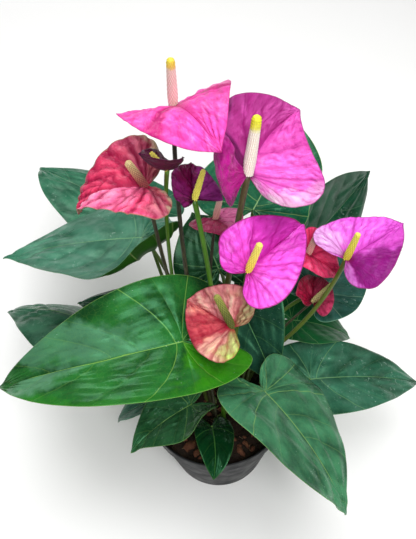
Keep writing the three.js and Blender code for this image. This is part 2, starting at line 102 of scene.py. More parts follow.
# Leaves. at: where the petiole meets the blade. heading, pitch, roll: which way the blade sets off.
# droop, sway and twist add up from junction to tip. Pairs hold the left and the right half: fold at the
# midrib, curl across, lift and length of the basal lobe, and tuck, a further curl that reaches from the
# sinus to the share tuck_to of the outline. root: foot in the mix. bend: how far the middle of the
# petiole is pushed aside. Millimetres and degrees. What a blade lacks is 0, and a lobe's length is 1.
LEAVES = (
    dict(name="front_left", at=(-27, 1, 215), root=(-8, 1), length=190, width=120, heading=198, pitch=10,
         roll=-33, droop=65, twist=10, fold=(28, 0), curl=(35, -6), lift=(-20, -45), lobe=(0.9, 0.9),
         bend=(2, 27)),
    dict(name="front_right", at=(43, -25, 165), root=(13, -7), length=135, width=123, heading=-53,
         pitch=2, roll=-24, droop=58, sway=19, twist=2, fold=(6, 19), curl=(-23, -10), lift=(67, 16),
         lobe=(0.71, 0.58), tuck=(3, -21), tuck_to=0.53, bend=(0, 0)),
    dict(name="right", at=(93, 8, 120), root=(-27, -34), length=144, width=84, heading=6, pitch=-6,
         roll=5, droop=43, twist=9, fold=(8, 11), curl=(-12, 0), bend=(-60, 0)),
    dict(name="young_front", at=(-6, -42, 132), root=(-6, -21), length=54, width=36, heading=-80,
         pitch=35, roll=-12, droop=70, sway=-10, fold=(15, 15), bend=(0, 0)),
    dict(name="low_left", at=(-24, -23, 142), root=(-7, -7), length=71, width=78, heading=202, pitch=-9,
         roll=23, droop=17, sway=18, twist=-9, fold=(2, 12), curl=(-7, 3), lift=(-36, 0), lobe=(0.94, 1),
         tuck=(63, 0), tuck_to=0.64, bend=(0, 0)),
    dict(name="left", at=(-114, 68, 140), root=(-13, -3), length=144, width=114, heading=147, pitch=-1,
         roll=22, droop=44, twist=-16, fold=(-11, -23), curl=(-2, -20), bend=(51, -31)),
    dict(name="upper_left", at=(-65, 124, 212), root=(5, 16), length=150, width=169, heading=171,
         pitch=-9, roll=15, droop=10, sway=10, twist=23, fold=(-18, 15), curl=(46, -25), lift=(74, -13),
         lobe=(1.54, 0.67), tuck=(66, -83), tuck_to=0.58, bend=(9, 35)),
    dict(name="back_left", at=(-73, 206, 156), root=(16, -37), length=173, width=133, heading=154,
         pitch=11, roll=8, droop=31, sway=-32, twist=7, fold=(5, 0), curl=(-13, -14), lift=(0, -2),
         lobe=(0.8, 0.73), tuck=(86, -2), tuck_to=0.63, bend=(15, -77)),
    dict(name="back_right", at=(93, 132, 166), root=(21, 5), length=175, width=107, heading=45, pitch=2,
         roll=55, droop=25, sway=-5, twist=-16, fold=(14, 2), curl=(18, -6), lobe=(0.4, 0.4),
         tuck=(0, -2), bend=(-39, -39)),
    dict(name="back", at=(44, 129, 238), root=(13, 33), length=136, width=129, heading=59, pitch=6,
         roll=-14, droop=-10, sway=28, twist=21, fold=(17, 10), curl=(1, 18), lift=(3, -26),
         lobe=(0.62, 0.42), tuck=(-5, -81), tuck_to=0.53, bend=(0, -1)),
    dict(name="right_low", at=(80, 66, 139), root=(28, 18), length=88, width=64, heading=0, pitch=-15,
         droop=48, sway=8, fold=(8, 15), bend=(-30, -25)),
    dict(name="centre", at=(24, 71, 178), root=(8, 22), length=96, width=84, heading=-67, pitch=-20,
         roll=10, droop=30, fold=(19, 10), bend=(-6, -5)),
    dict(name="centre_back", at=(8, 82, 210), root=(1, 28), length=84, width=82, heading=107, pitch=6,
         roll=-4, droop=22, fold=(5, 7), bend=(16, 33)),
    dict(name="sliver_left", at=(-58, 73, 152), root=(-19, 21), length=99, width=71, heading=156,
         pitch=-3, roll=10, droop=28, sway=-4, fold=(6, 7), curl=(-1, 4), lift=(0, 1), lobe=(1, 0.94),
         bend=(2, -6)),
    dict(name="sliver_low", at=(-51, -1, 115), root=(-19, -4), length=75, width=33, heading=185,
         pitch=-11, roll=3, droop=67, sway=-3, twist=-15, fold=(20, 13), curl=(14, -1), lift=(0, -1),
         lobe=(1, 0.97), tuck=(0, -1), bend=(0, 0)),
    dict(name="grey_right", at=(104, 72, 177), root=(26, -2), length=95, width=78, heading=45, pitch=-10,
         roll=15, fold=(13, 15), bend=(-50, 20)),
)

# Blooms, in the same terms. spadix: (heading, pitch, length, base radius, tip radius).
BLOOMS = (
    dict(name="top", at=(-22, 110, 380), root=(-2, -17), length=80, width=90, heading=-64, pitch=37,
         roll=-4, droop=60, sway=-8, twist=38, fold=(10, 7), curl=(-4, 0), lift=(-75, -74),
         lobe=(0.32, 0.25), bend=(-13, -7), spadix=(-79, 81, 48, 4, 2.8)),
    dict(name="large", at=(33, 75, 338), root=(7, 10), length=73, width=122, heading=70, pitch=16,
         roll=59, droop=-36, sway=-28, twist=-28, fold=(-3, 40), curl=(31, 33), lift=(28, -13),
         lobe=(1.76, 0.6), tuck=(-10, 53), bend=(-27, -45), spadix=(60, 73, 50, 4.8, 3.4)),
    dict(name="left", at=(-47, 70, 335), root=(-14, 21), length=62, width=92, heading=189, pitch=18,
         roll=3, droop=70, sway=-5, twist=15, fold=(31, 17), curl=(-44, 12), lift=(24, 7),
         lobe=(0.6, 0.6), bend=(1, 0), spadix=(-161, 70, 33, 3.5, 2.6)),
    dict(name="centre", at=(30, 24, 280), root=(8, 3), length=68, width=80, heading=44, pitch=5, roll=20,
         droop=5, sway=-9, twist=-13, fold=(36, 27), curl=(-5, -6), lift=(41, 20), bend=(-8, 1),
         spadix=(16, 73, 33, 3.2, 2.5)),
    dict(name="low", at=(16, 0, 236), root=(4, -1), length=50, width=72, heading=139, pitch=-3, roll=-9,
         droop=5, twist=-8, fold=(11, 38), curl=(-9, 12), lift=(15, 32), bend=(-6, 21),
         spadix=(142, 64, 37, 3.4, 2.5)),
    dict(name="right", at=(118, 53, 252), root=(6, 32), length=64, width=78, heading=30, pitch=2, roll=7,
         droop=-9, twist=-6, fold=(19, 20), curl=(-35, -11), lift=(13, -13), lobe=(0.55, 0.55),
         bend=(-7, -25), spadix=(32, 73, 30, 3.3, 2.2)),
    dict(name="right_low", at=(94, 50, 193), root=(12, 15), length=36, width=42, heading=78, pitch=2,
         roll=2, droop=27, fold=(38, 30), lift=(44, -17), bend=(-39, -10), spadix=(13, 53, 29, 2.7, 1.9)),
    dict(name="right_back", at=(91, 79, 230), root=(19, 30), length=40, width=48, heading=-17, pitch=-39,
         roll=7, fold=(26, 22), lift=(7, 2), bend=(-38, 12), spadix=(-2, 80, 23, 2.9, 2.1)),
    dict(name="dark", at=(-10, 68, 320), root=(5, -27), length=37, width=50, heading=96, pitch=24,
         roll=11, droop=31, sway=-12, twist=-18, fold=(24, 5), curl=(24, -27), lift=(-8, 9),
         lobe=(0.54, 0.09), tuck=(30, -13), tuck_to=0.56, bend=(17, -38), spadix=(46, 62, 27, 2.8, 1.8)),
    dict(name="small_dark", at=(-28, 55, 366), root=(-24, 11), length=32, width=40, heading=210, pitch=35,
         roll=16, droop=-39, sway=-1, twist=-14, fold=(39, 27), curl=(9, 1), lift=(59, 6),
         lobe=(0.99, 0.9), tuck=(18, -39), tuck_to=0.55, bend=(-18, 64), spadix=(152, 46, 18, 1.9, 1.5)),
    dict(name="middle_pink", at=(7, 95, 266), root=(2, -35), length=36, width=48, heading=-61, pitch=27,
         roll=-4, droop=15, bend=(-20, -51), spadix=(-2, 80, 27, 2.9, 2.1)),
)

SPINE_STEPS = 24
BACK_STEPS = 16  # steps by which a midrib is carried back past the junction
BACK_STEP = 0.05  # in lengths
LIFT_STEPS = 10  # steps back over which the lift of a lobe is reached
TUCK_TO = 0.5
TUCK_FADE = 0.3  # share of the outline over which a tuck fades out
LATE = 0.3  # how much more a blade bends towards its tip than at its junction
NO_CURL = 1e-5  # added to every curl, so that a flat blade can be divided by it
VEIN_ARCH = 1.5  # how much a side vein turns to the tip on its way out
VEIN_DRIFT = 0.3  # how unevenly the side veins are spaced
MARGIN_THIN = 0.5  # share of its thickness that a blade loses at the margin
MARGIN_ROUND = 0.3  # how far the margin is rounded out, in thicknesses
POT_SIDES = 176
HOLE_SIDES = 32
EDGE_ROUND = 0.7  # how far from a corner of the pot its rounding starts
MIX_SIDES = 260
MIX_RINGS = 150
CHIP_PROFILE = [(0, -1), (0.85, -0.95), (1, -0.3), (0.95, 0.5), (0.6, 0.95), (0, 1)]
CHIP_SIDES = 7
CHIP_SIZE = (1.6, 4.6)  # half the length of the smallest and the largest chip
FIBRE_STEPS = 7
FIBRE_SIDES = 5
FIBRE_RADIUS = 0.22
FIBRE_LENGTH = (5, 13)
FIBRE_LIFT = 0.35  # above the mix
GROUND_SEED = 7
CHIP_SEED = 11
FIBRE_SEED = 23
LEAF_SEED = 1  # of the first leaf, and one more for each next
SPATHE_SEED = 31
HALF_OUTLINE = 1.5  # length of the outline of one half, in lengths of the blade
COLUMNS = (12, 34)  # fewest and most columns of half a blade
FREE_SPACING = 10  # where side veins are this far apart, the relief has its plain height
HALVES_APART = 3  # keeps the ripples of the two halves of a blade different
GRAINS_APART = 9.0  # the same for the grain of their colours
STRAIGHT = 1e-3  # a path that bows less than this has no plane of its own
STALK_BASE = 85  # height of the feet of the stalks, inside the mix
PETIOLE_REACH = (0.15, 0.45)  # how far out and down from its top a petiole bends, in shares of its reach
STALK_REACH = (0.2, 0.5)
FIT = 0.3  # gap between the mix and the pot
BAND_SPREAD = 1.2  # below the band, the body is this much and the band's step narrower than the lip
FLOOR = 2  # thickness of the pot's floor
TINY = 1e-9
SAME_POINT = 1e-6


def metres(name, description, default):
    """A size in metres, for the sidebar."""
    return FloatProperty(name=name, description=description, default=default, unit="LENGTH")


def number(name, description, default):
    """A count, for the sidebar."""
    return IntProperty(name=name, description=description, default=default)


def paint(name, description, default):
    """A linear colour, for the sidebar."""
    return FloatVectorProperty(name=name, description=description, default=default, size=3, subtype="COLOR")


class PotSizes(PropertyGroup):
    height: metres("Height", "Floor to lip", 0.107)
    lip: metres("Lip radius", "Outside of the lip", 0.070)
    base: metres("Base radius", "Outside of the base", 0.0505)
    band: metres("Band height", "Wider band under the lip", 0.016)
    step: metres("Band step", "How far the band stands out", 0.0018)
    wall: metres("Wall", "Thickness of the wall", 0.0016)
    hole: metres("Hole radius", "Radius of a drain hole", 0.004)
    circle: metres("Hole circle", "Radius of the ring of holes", 0.036)
    holes: number("Holes", "Number of drain holes", 6)
    colour: paint("Plastic", "Colour of the moulded plastic", (0.0090, 0.0095, 0.0108))


class MixSizes(PropertyGroup):
    top: metres("Top", "Mean height of the mix", 0.097)
    crumb: metres("Crumb", "Height of a crumb", 0.0016)
    chips: number("Chips", "Number of bark chips", 90)
    fibres: number("Fibres", "Number of pale fibres", 46)
    peat: paint("Peat", "Colour of the peat", (0.016, 0.010, 0.007))
    bark: paint("Bark", "Colour of the bark chips", (0.11, 0.042, 0.024))
    fibre: paint("Fibre", "Colour of the fibres", (0.17, 0.11, 0.06))


class BladeDetail(PropertyGroup):
    row_step: metres("Row step", "Rows of a leaf are this far apart at its margin", 0.002)
    column_step: metres("Column step", "Widest face of a blade, across it", 0.0021)
    leaf_thick: metres("Leaf", "Thickness of a leaf", 0.0007)
    spathe_thick: metres("Spathe", "Thickness of a spathe", 0.0008)
    petiole: metres("Petiole", "Radius of a leaf stalk", 0.0019)


SETTINGS = {"anthurium_pot": PotSizes, "anthurium_mix": MixSizes, "anthurium_blades": BladeDetail}


def linear(written, share=1.0):
    """A colour as written on screen, 0xrrggbb, as a linear RGBA tuple, with a share of its brightness."""
    parts = [((written >> shift) & 255) / 255 for shift in (16, 8, 0)]
    level = [c / 12.92 if c <= 0.04045 else ((c + 0.055) / 1.055) ** 2.4 for c in parts]
    return tuple(c * share for c in level) + (1.0,)


def smooth(low, high, x):
    """0 below low, 1 above high, and 3x^2 - 2x^3 between."""
    x = np.clip((x - low) / (high - low), 0, 1)
    return x * x * (3 - 2 * x)


def unit(v):
    return v / (np.linalg.norm(v, axis=-1, keepdims=True) + TINY)


def turn(first, second, angle):
    """first turned towards second by an angle, and second along with it."""
    cos, sin = math.cos(angle), math.sin(angle)
    return first * cos + second * sin, second * cos - first * sin


def direction(heading, pitch):
    h, p = math.radians(heading), math.radians(pitch)
    return np.array([math.cos(h) * math.cos(p), math.sin(h) * math.cos(p), math.sin(p)])


def through(points, shares):
    """A Catmull-Rom curve through the points, at the given shares of its parameter."""
    p = np.asarray(points, float)
    ends = np.vstack([2 * p[0] - p[1], p, 2 * p[-1] - p[-2]])
    t = shares * (len(p) - 1)
    i = np.minimum(t.astype(int), len(p) - 2)
    x = (t - i)[:, None]
    a, b, c, d = (ends[i + k] for k in range(4))
    return b + 0.5 * x * (c - a + x * (2 * a - 5 * b + 4 * c - d + x * (3 * (b - c) + d - a)))


def ripple(x, y, seed, terms=6, reach=4.0):
    """A gentle random field: the sum of sine waves in x and y with seeded rates and phases."""
    draw = np.random.default_rng(seed)
    rate = draw.uniform(-reach, reach, (terms, 2))
    phase = draw.uniform(0, 2 * math.pi, terms)
    total = sum(np.sin(2 * math.pi * (rate[k, 0] * x + rate[k, 1] * y) + phase[k]) for k in range(terms))
    return total / math.sqrt(terms)


def midrib(blade, lift):
    """Stations (u, centre, left, up) along a blade's midrib, as arrays.

    From the junction the line runs back, bent up by the lift, and on to the tip, where droop, sway and
    twist turn its three axes a little at each step, more of it late than early.
    """
    ahead0 = direction(blade["heading"], blade["pitch"])
    h = math.radians(blade["heading"])
    level = np.array([-math.sin(h), math.cos(h), 0.0])
    left0, up0 = turn(level, np.cross(ahead0, level), math.radians(blade.get("roll", 0)))
    start = np.array(blade["at"], float)
    rows = [(0.0, start, left0, up0)]
    ahead, up, centre = ahead0, up0, start
    for k in range(1, BACK_STEPS + 1):
        ahead, up = turn(ahead, up, -math.radians(lift) / LIFT_STEPS)
        centre = centre - ahead * blade["length"] * BACK_STEP
        rows.insert(0, (-BACK_STEP * k, centre, left0, up))
    ahead, left, up, centre = ahead0, left0, up0, start
    for k in range(1, SPINE_STEPS + 1):
        share = (1 + LATE * ((2 * k - 1) / SPINE_STEPS - 1)) / SPINE_STEPS
        ahead, up = turn(ahead, up, -math.radians(blade.get("droop", 0)) * share)
        ahead, left = turn(ahead, left, math.radians(blade.get("sway", 0)) * share)
        left, up = turn(left, up, math.radians(blade.get("twist", 0)) * share)
        centre = centre + ahead * blade["length"] / SPINE_STEPS
        rows.append((k / SPINE_STEPS, centre, left, up))
    return [np.array([row[k] for row in rows]) for k in range(4)]


def uneven(rows, veins, seed):
    """Shares of the outline at which the rows of one half reach it: even steps, but each side vein is
    moved by up to VEIN_DRIFT of the way to the next."""
    even = np.linspace(0, 1, veins + 1)
    moved = even + np.random.default_rng(seed).uniform(-VEIN_DRIFT, VEIN_DRIFT, veins + 1) / veins
    moved[0], moved[-1] = 0, 1
    return np.interp(np.linspace(0, 1, rows), even, moved)


def blade_grid(blade, outline, shares, columns):
    """A blade's middle surface in millimetres: rows x (2 columns + 1) x 3, right margin to left margin.
    shares holds, for the left and the right half, where on the outline its rows end.

    A row follows a side vein from the midrib at root to the outline at (along, across). A point at
    share t of it lies at U = root + (along - root) t^arch along the midrib and at V = across t beside
    it. Beside the midrib the section is an arc: out = (half / curl)(sin(fold + curl V) - sin fold) and
    rise = (half / curl)(cos fold - cos(fold + curl V)).
    """
    t = np.linspace(0, 1, columns + 1)
    half = blade["width"] / 2
    tuck_to = blade.get("tuck_to", TUCK_TO)
    halves = []
    for side, sign in ((1, -1), (0, 1)):
        line = through(outline, shares[side])
        tuck_share = 1 - smooth(tuck_to - TUCK_FADE, tuck_to, shares[side][:, None])
        pair = {key: blade.get(key, (other, other))[side]
                for key, other in (("lobe", 1), ("fold", 0), ("curl", 0), ("lift", 0), ("tuck", 0))}
        u, centre, left, up = midrib(blade, pair["lift"])
        along = np.where(line[:, :1] < 0, line[:, :1] * pair["lobe"], line[:, :1])
        root = np.maximum(line[:, 2:], 0)
        place = root + (along - root) * t ** VEIN_ARCH
        beside = line[:, 1:2] * t
        fold = math.radians(pair["fold"])
        curl = np.radians(pair["curl"] + pair["tuck"] * tuck_share) + NO_CURL
        out = half / curl * (np.sin(fold + curl * beside) - math.sin(fold))
        rise = half / curl * (math.cos(fold) - np.cos(fold + curl * beside))
        centre, left, up = (
            np.stack([np.interp(place, u, part[:, k]) for k in range(3)], -1) for part in (centre, left, up)
        )
        halves.append(centre + (sign * out)[..., None] * left + rise[..., None] * up)
    return np.concatenate([halves[0][:, :0:-1], halves[1]], 1)


def blade_measures(grid, veins):
    """Values over a blade: millimetres to its midrib (rib), its margin (edge) and its nearest side vein
    (vein), the count q of veins along the outline, and the clear spacing of the veins.

    rib and edge are lengths along the rows, vein is |q - round(q)| times the spacing, and the spacing is
    |dP/dq x row direction|.
    """
    rows, wide, _ = grid.shape
    middle = wide // 2
    steps = np.linalg.norm(np.diff(grid, axis=1), axis=2)
    left = np.concatenate([np.zeros((rows, 1)), np.cumsum(steps[:, middle:], 1)], 1)
    right = np.concatenate([np.zeros((rows, 1)), np.cumsum(steps[:, :middle][:, ::-1], 1)], 1)
    rib = np.concatenate([right[:, :0:-1], left], 1)
    edge = np.concatenate([(right[:, -1:] - right)[:, :0:-1], left[:, -1:] - left], 1)
    q = np.linspace(0, veins, rows)[:, None] + np.zeros((1, wide))
    along = np.gradient(grid, axis=0) * (rows - 1) / veins
    across = unit(np.gradient(grid, axis=1))
    spacing = np.linalg.norm(np.cross(along, across), axis=2)
    return {"rib": rib, "edge": edge, "vein": np.abs(q - np.round(q)) * spacing, "count": q}, spacing


def accumulate_normals(points, faces):
    """Unit vertex normals: the sum of the normals of the faces round each vertex."""
    a, b, c = (points[faces[:, k]] for k in range(3))
    face = np.cross(b - a, c - a)
    total = np.zeros_like(points)
    for k in range(3):
        np.add.at(total, faces[:, k], face)
    return unit(total)


def split(quads):
    """Quads as triangles, without those that have fallen together."""
    tri = np.concatenate([quads[:, [0, 1, 2]], quads[:, [0, 2, 3]]])
    sound = (tri[:, 0] != tri[:, 1]) & (tri[:, 1] != tri[:, 2]) & (tri[:, 0] != tri[:, 2])
    return tri[sound]


def cells(ids):
    """The quads of a grid of vertex numbers, corner by corner round each cell."""
    return np.stack([ids[:-1, :-1], ids[1:, :-1], ids[1:, 1:], ids[:-1, 1:]], -1).reshape(-1, 4)


class Shape:
    """Points in millimetres, triangles, a material number for each triangle, values for each point."""

    def __init__(self, points, faces, values=None, material=0):
        self.points = points
        self.faces = faces
        self.values = values or {}
        self.material = np.zeros(len(faces), int) + material


def joined(shapes):
    """Several shapes as one. A value that a shape lacks is 0 there."""
    starts = np.cumsum([0] + [len(shape.points) for shape in shapes])
    values = {
        key: np.concatenate([shape.values.get(key, np.zeros(len(shape.points))) for shape in shapes])
        for key in dict.fromkeys(key for shape in shapes for key in shape.values)
    }
    return Shape(
        np.concatenate([shape.points for shape in shapes]),
        np.concatenate([shape.faces + start for shape, start in zip(shapes, starts)]),
        values,
        np.concatenate([shape.material for shape in shapes]),
    )


def blade_shell(grid, thick, relief, values):
    """A closed blade: the middle surface moved by the relief along its normal, then half a thickness to
    each side of that, a little thinner at the margin and rounded over it."""
    rows, wide, _ = grid.shape
    middle = wide // 2
    ids = np.arange(rows * wide).reshape(rows, wide)
    flat = grid.reshape(-1, 3)
    merged = np.linalg.norm(grid[:, middle] - grid[0, middle], axis=1) < SAME_POINT
    ids[merged, middle] = ids[0, middle]
    ids[0] = ids[0, middle]
    ids[-1] = ids[-1, middle]
    faces = split(cells(ids))
    t = np.abs(np.linspace(-1, 1, wide))[None] + np.zeros((rows, 1))
    half = (thick / 2 * (1 - MARGIN_THIN * t ** 6)).reshape(-1, 1)
    lifted = flat + accumulate_normals(flat, faces) * relief.reshape(-1, 1)
    normal = accumulate_normals(lifted, faces)
    rims = []
    for last, before in ((wide - 1, wide - 2), (0, 1)):
        out = unit(grid[:, last] - grid[:, before])
        rim = lifted.reshape(rows, wide, 3)[:, last] + out * thick * MARGIN_ROUND
        rim[0] = lifted[ids[0, middle]]
        rim[-1] = lifted[ids[-1, middle]]
        rims.append(rim)
    count = rows * wide
    under = ids + count
    left_rim = np.arange(rows) + 2 * count
    right_rim = left_rim + rows
    right_rim[0], right_rim[-1] = left_rim[0], left_rim[-1]
    strips = (
        (ids[:, -1], left_rim),
        (left_rim, under[:, -1]),
        (right_rim, ids[:, 0]),
        (under[:, 0], right_rim),
    )
    upper = np.concatenate([faces] + [split(cells(np.stack(strip, 1))) for strip in strips])
    lower = split(cells(under[:, ::-1]))
    return Shape(
        np.concatenate([lifted + normal * half, lifted - normal * half, *rims]),
        np.concatenate([upper, lower]),
        {key: np.concatenate([value.ravel(), value.ravel(), value[:, -1], value[:, 0]])
         for key, value in values.items()},
        np.repeat([0, 1], [len(upper), len(lower)]),
    )


def round_body(rings, foot, top):
    """Rings of points as one closed body with a point at each end. reach runs from 0 to 1 along it."""
    count, sides, _ = rings.shape
    ids = np.arange(count * sides).reshape(count, sides)
    wrapped = np.concatenate([ids, ids[:, :1]], 1)
    caps = [
        np.stack([np.full(sides, count * sides), wrapped[0, 1:], wrapped[0, :-1]], 1),
        np.stack([np.full(sides, count * sides + 1), wrapped[-1, :-1], wrapped[-1, 1:]], 1),
    ]
    points = np.concatenate([rings.reshape(-1, 3), [foot], [top]])
    reach = np.concatenate([np.repeat(np.linspace(0, 1, count), sides), [0, 1]])
    return Shape(points, np.concatenate([split(cells(wrapped)[:, ::-1]), *caps]), {"reach": reach})


def tube(path, radius, sides):
    """A round body along a path: a ring of the given radius at each point, square to the path. The rings
    start from one fixed axis, square to the path's plane."""
    ahead = unit(np.gradient(path, axis=0))
    plane = np.cross(path[-1] - path[0], path[len(path) // 2] - path[0])
    if np.linalg.norm(plane) < STRAIGHT:
        plane = np.cross(ahead[0], np.array([0.3, 1.0, 0.2]))
    side = unit(plane - ahead * (ahead @ plane)[:, None])
    other = np.cross(ahead, side)
    angle = np.linspace(0, 2 * math.pi, sides, endpoint=False)
    ring = np.cos(angle)[None, :, None] * side[:, None] + np.sin(angle)[None, :, None] * other[:, None]
    return round_body(path[:, None] + ring * radius[:, None, None], path[0], path[-1])


def stem_path(piece, shares, count):
    """A stem's line: the curve B(t) = (1-t)^2 foot + 2t(1-t) bend + t^2 top, where the bend lies short of
    the top by shares of the reach, level and upright, and is pushed aside by the piece's own bend."""
    outward, upright = shares
    top = np.array(piece["at"], float)
    foot = np.array([*piece["root"], STALK_BASE], float)
    bend = top - (top - foot) * np.array([outward, outward, upright])
    bend[:2] += piece["bend"]
    t = np.linspace(0, 1, count)[:, None]
    return (1 - t) ** 2 * foot + 2 * t * (1 - t) * bend + t ** 2 * top


def lathe(profile, sides):
    """A turned body: each (radius, height) of a closed profile carried round the z axis."""
    profile = np.array(profile, float)
    angle = np.linspace(0, 2 * math.pi, sides, endpoint=False)
    r, z = profile[:, 0], profile[:, 1]
    grid = np.stack([r[:, None] * np.cos(angle), r[:, None] * np.sin(angle), z[:, None] + 0 * angle], -1)
    ids = np.arange(len(profile) * sides).reshape(len(profile), sides)
    poles = np.flatnonzero(r < TINY)
    ids[poles] = ids[poles, :1]
    wrapped = np.concatenate([ids, ids[:, :1]], 1)
    return Shape(grid.reshape(-1, 3), split(cells(wrapped)[:, ::-1]))


def add_piece(name, shape, materials, replaced=()):
    """Makes the mesh object of a shape, without its unused points, and hangs it on the one body."""
    used, faces = np.unique(shape.faces, return_inverse=True)
    faces = faces.reshape(-1, 3).astype(np.int32)
    points = (shape.points[used] * MM).astype(np.float32)
    mesh = bpy.data.meshes.new(name)
    mesh.vertices.add(len(points))
    mesh.vertices.foreach_set("co", points.ravel())
    mesh.loops.add(faces.size)
    mesh.loops.foreach_set("vertex_index", faces.ravel())
    mesh.polygons.add(len(faces))
    mesh.polygons.foreach_set("loop_start", np.arange(0, faces.size, 3, dtype=np.int32))
    mesh.polygons.foreach_set("material_index", shape.material.astype(np.int32))
    mesh.polygons.foreach_set("use_smooth", np.ones(len(faces), bool))
    for key, value in shape.values.items():
        given = value[used].astype(np.float32)
        mesh.attributes.new(key, "FLOAT", "POINT").data.foreach_set("value", given)
    mesh.update()
    mesh.validate()
    piece = bpy.data.objects.new(name, mesh)
    bpy.context.scene.collection.objects.link(piece)
    for material in materials:
        mesh.materials.append(material)
    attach(piece, "root")
    if replaced:
        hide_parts(*replaced)
    return piece


class Finish:
    """A material's nodes, with one short call for each kind of node that is used here."""

    def __init__(self, name, **sockets):
        self.material = bpy.data.materials.new(name)
        self.material.use_nodes = True
        self.tree = self.material.node_tree
        self.shader = self.tree.nodes["Principled BSDF"]
        for key, value in sockets.items():
            self.shader.inputs[key.replace("_", " ")].default_value = value
        self.place = self.node("ShaderNodeTexCoord").outputs["Object"]

    def node(self, kind, **settings):
        made = self.tree.nodes.new(kind)
        for key, value in settings.items():
            setattr(made, key, value)
        return made

    def put(self, socket, value):
        if isinstance(value, bpy.types.NodeSocket):
            self.tree.links.new(value, socket)
        else:
            socket.default_value = value

    def value(self, name):
        """A value that the piece carries at its points."""
        return self.node("ShaderNodeAttribute", attribute_name=name).outputs["Fac"]

    def math(self, operation, a, b=0.0, c=0.0):
        made = self.node("ShaderNodeMath", operation=operation)
        for socket, given in zip(made.inputs, (a, b, c)):
            self.put(socket, given)
        return made.outputs[0]

    def times(self, a, b):
        return self.math("MULTIPLY", a, b)

    def plus(self, a, b):
        return self.math("ADD", a, b)

    def blend(self, a, much_a, b, much_b):
        return self.plus(self.times(a, much_a), self.times(b, much_b))

    def most(self, first, *others):
        for other in others:
            first = self.math("MAXIMUM", first, other)
        return first

    def step(self, x, low, high, start=0.0, end=1.0):
        """A smooth change from start to end while x goes from low to high."""
        made = self.node("ShaderNodeMapRange", interpolation_type="SMOOTHSTEP")
        for socket, given in zip(made.inputs, (x, low, high, start, end)):
            self.put(socket, given)
        return made.outputs[0]

    def field(self, place, scale, detail, rough):
        made = self.node("ShaderNodeTexNoise")
        made.inputs["Scale"].default_value = scale
        made.inputs["Detail"].default_value = detail
        made.inputs["Roughness"].default_value = rough
        self.put(made.inputs["Vector"], place)
        return made.outputs["Fac"]

    def noise(self, size, detail=2.0, rough=0.5, stretch=None):
        """Noise whose features are about size metres across, 0 to 1."""
        place = self.place
        if stretch:
            turned = self.node("ShaderNodeMapping")
            turned.inputs["Scale"].default_value = stretch
            self.put(turned.inputs["Vector"], place)
            place = turned.outputs["Vector"]
        return self.field(place, 1 / size, detail, rough)

    def grain(self, count, length, detail=3.0, rough=0.5):
        """Noise that runs out from the midrib with the side veins, 0 to 1: count features from one vein
        to the next, each some length in millimetres long."""
        place = self.node("ShaderNodeCombineXYZ")
        self.put(place.inputs[0], self.times(self.value("count"), count))
        self.put(place.inputs[1], self.times(self.value("rib"), 1 / length))
        self.put(place.inputs[2], self.times(self.math("SIGN", self.value("side")), GRAINS_APART))
        return self.field(place.outputs["Vector"], 1.0, detail, rough)

    def patches(self, body, given):
        """Lays coloured patches over a blade. Each is (half, place, reach, margin, colour, amount): the
        half is 1 for left, -1 for right and 0 for both, place and reach are shares of the outline, and a
        margin above 0 keeps the patch within so many millimetres of the margin."""
        for half, place, reach, margin, colour, amount in given:
            drift = self.step(self.noise(0.014, 3), 0.25, 0.75, -0.25 * reach, 0.25 * reach)
            past = self.math("SUBTRACT", self.plus(self.value("share"), drift), place)
            mask = self.step(self.math("ABSOLUTE", past), reach * 0.45, reach, amount, 0.0)
            if half:
                mask = self.times(mask, self.step(self.times(self.value("side"), half), -0.02, 0.06))
            if margin:
                ragged = self.step(self.noise(0.009, 3), 0.2, 0.8, -0.4 * margin, 0.4 * margin)
                near = self.plus(self.value("edge"), ragged)
                mask = self.times(mask, self.step(near, margin * 0.25, margin * 1.1, 1.0, 0.0))
            body = self.mix(body, colour, mask)
        return body

    def net(self, size):
        """Distance to the walls of cells of about size metres."""
        made = self.node("ShaderNodeTexVoronoi", feature="DISTANCE_TO_EDGE")
        made.inputs["Scale"].default_value = 1 / size
        self.put(made.inputs["Vector"], self.place)
        return made.outputs["Distance"]

    def mix(self, a, b, share, **settings):
        """From a to b as far as share says. A colour may be written as a number, 0xrrggbb."""
        made = self.node("ShaderNodeMix", data_type="RGBA", **settings)
        self.put(made.inputs[0], share)
        for socket, given in ((made.inputs[6], a), (made.inputs[7], b)):
            self.put(socket, linear(given) if isinstance(given, int) else given)
        return made.outputs[2]

    def paint_highlight(self, body, share):
        """Painted highlight: up to half as bright again, and paler, in the body's own hue."""
        return self.mix(body, PAINTED_HIGHLIGHT_GAIN, share, blend_type="MULTIPLY", clamp_result=True)

    def bump(self, height, depth, strength=1.0):
        """Bends the shading normal by a height field, whose full range is depth metres."""
        made = self.node("ShaderNodeBump")
        made.inputs["Distance"].default_value = depth
        made.inputs["Strength"].default_value = strength
        self.put(made.inputs["Height"], height)
        self.put(self.shader.inputs["Normal"], made.outputs["Normal"])

    def set(self, key, value):
        self.put(self.shader.inputs[key], value)


# Colours that several pieces share
# painted highlight: the most a colour is multiplied by where a painted highlight falls
PAINTED_HIGHLIGHT_GAIN = (1.4, 1.9, 1.5, 1.0)  # what a colour is multiplied by at most where it is lightened
LEAF_SHEEN = 0x8CE8B0
RESIDUE = 0xB4CCC0
UNDER_VEIN = 0x93A868
STALK_STREAK = 0x9AA45A
PETIOLE_LOW = 0x4A5A26
PETIOLE_HIGH = 0x55752C
SCUFF = 0x8A8C90
PEAT_LIGHT = 0x3A2416
BARK_LIGHT = 0x8A5A3C
FIBRE_LIGHT = 0xB79C72
PAPER_LOW = 0xF4F4F2
PAPER_HIGH = 0xFAFAFA
NET_CELL = 0.0040  # size of a cell in the net of fine veins, in metres
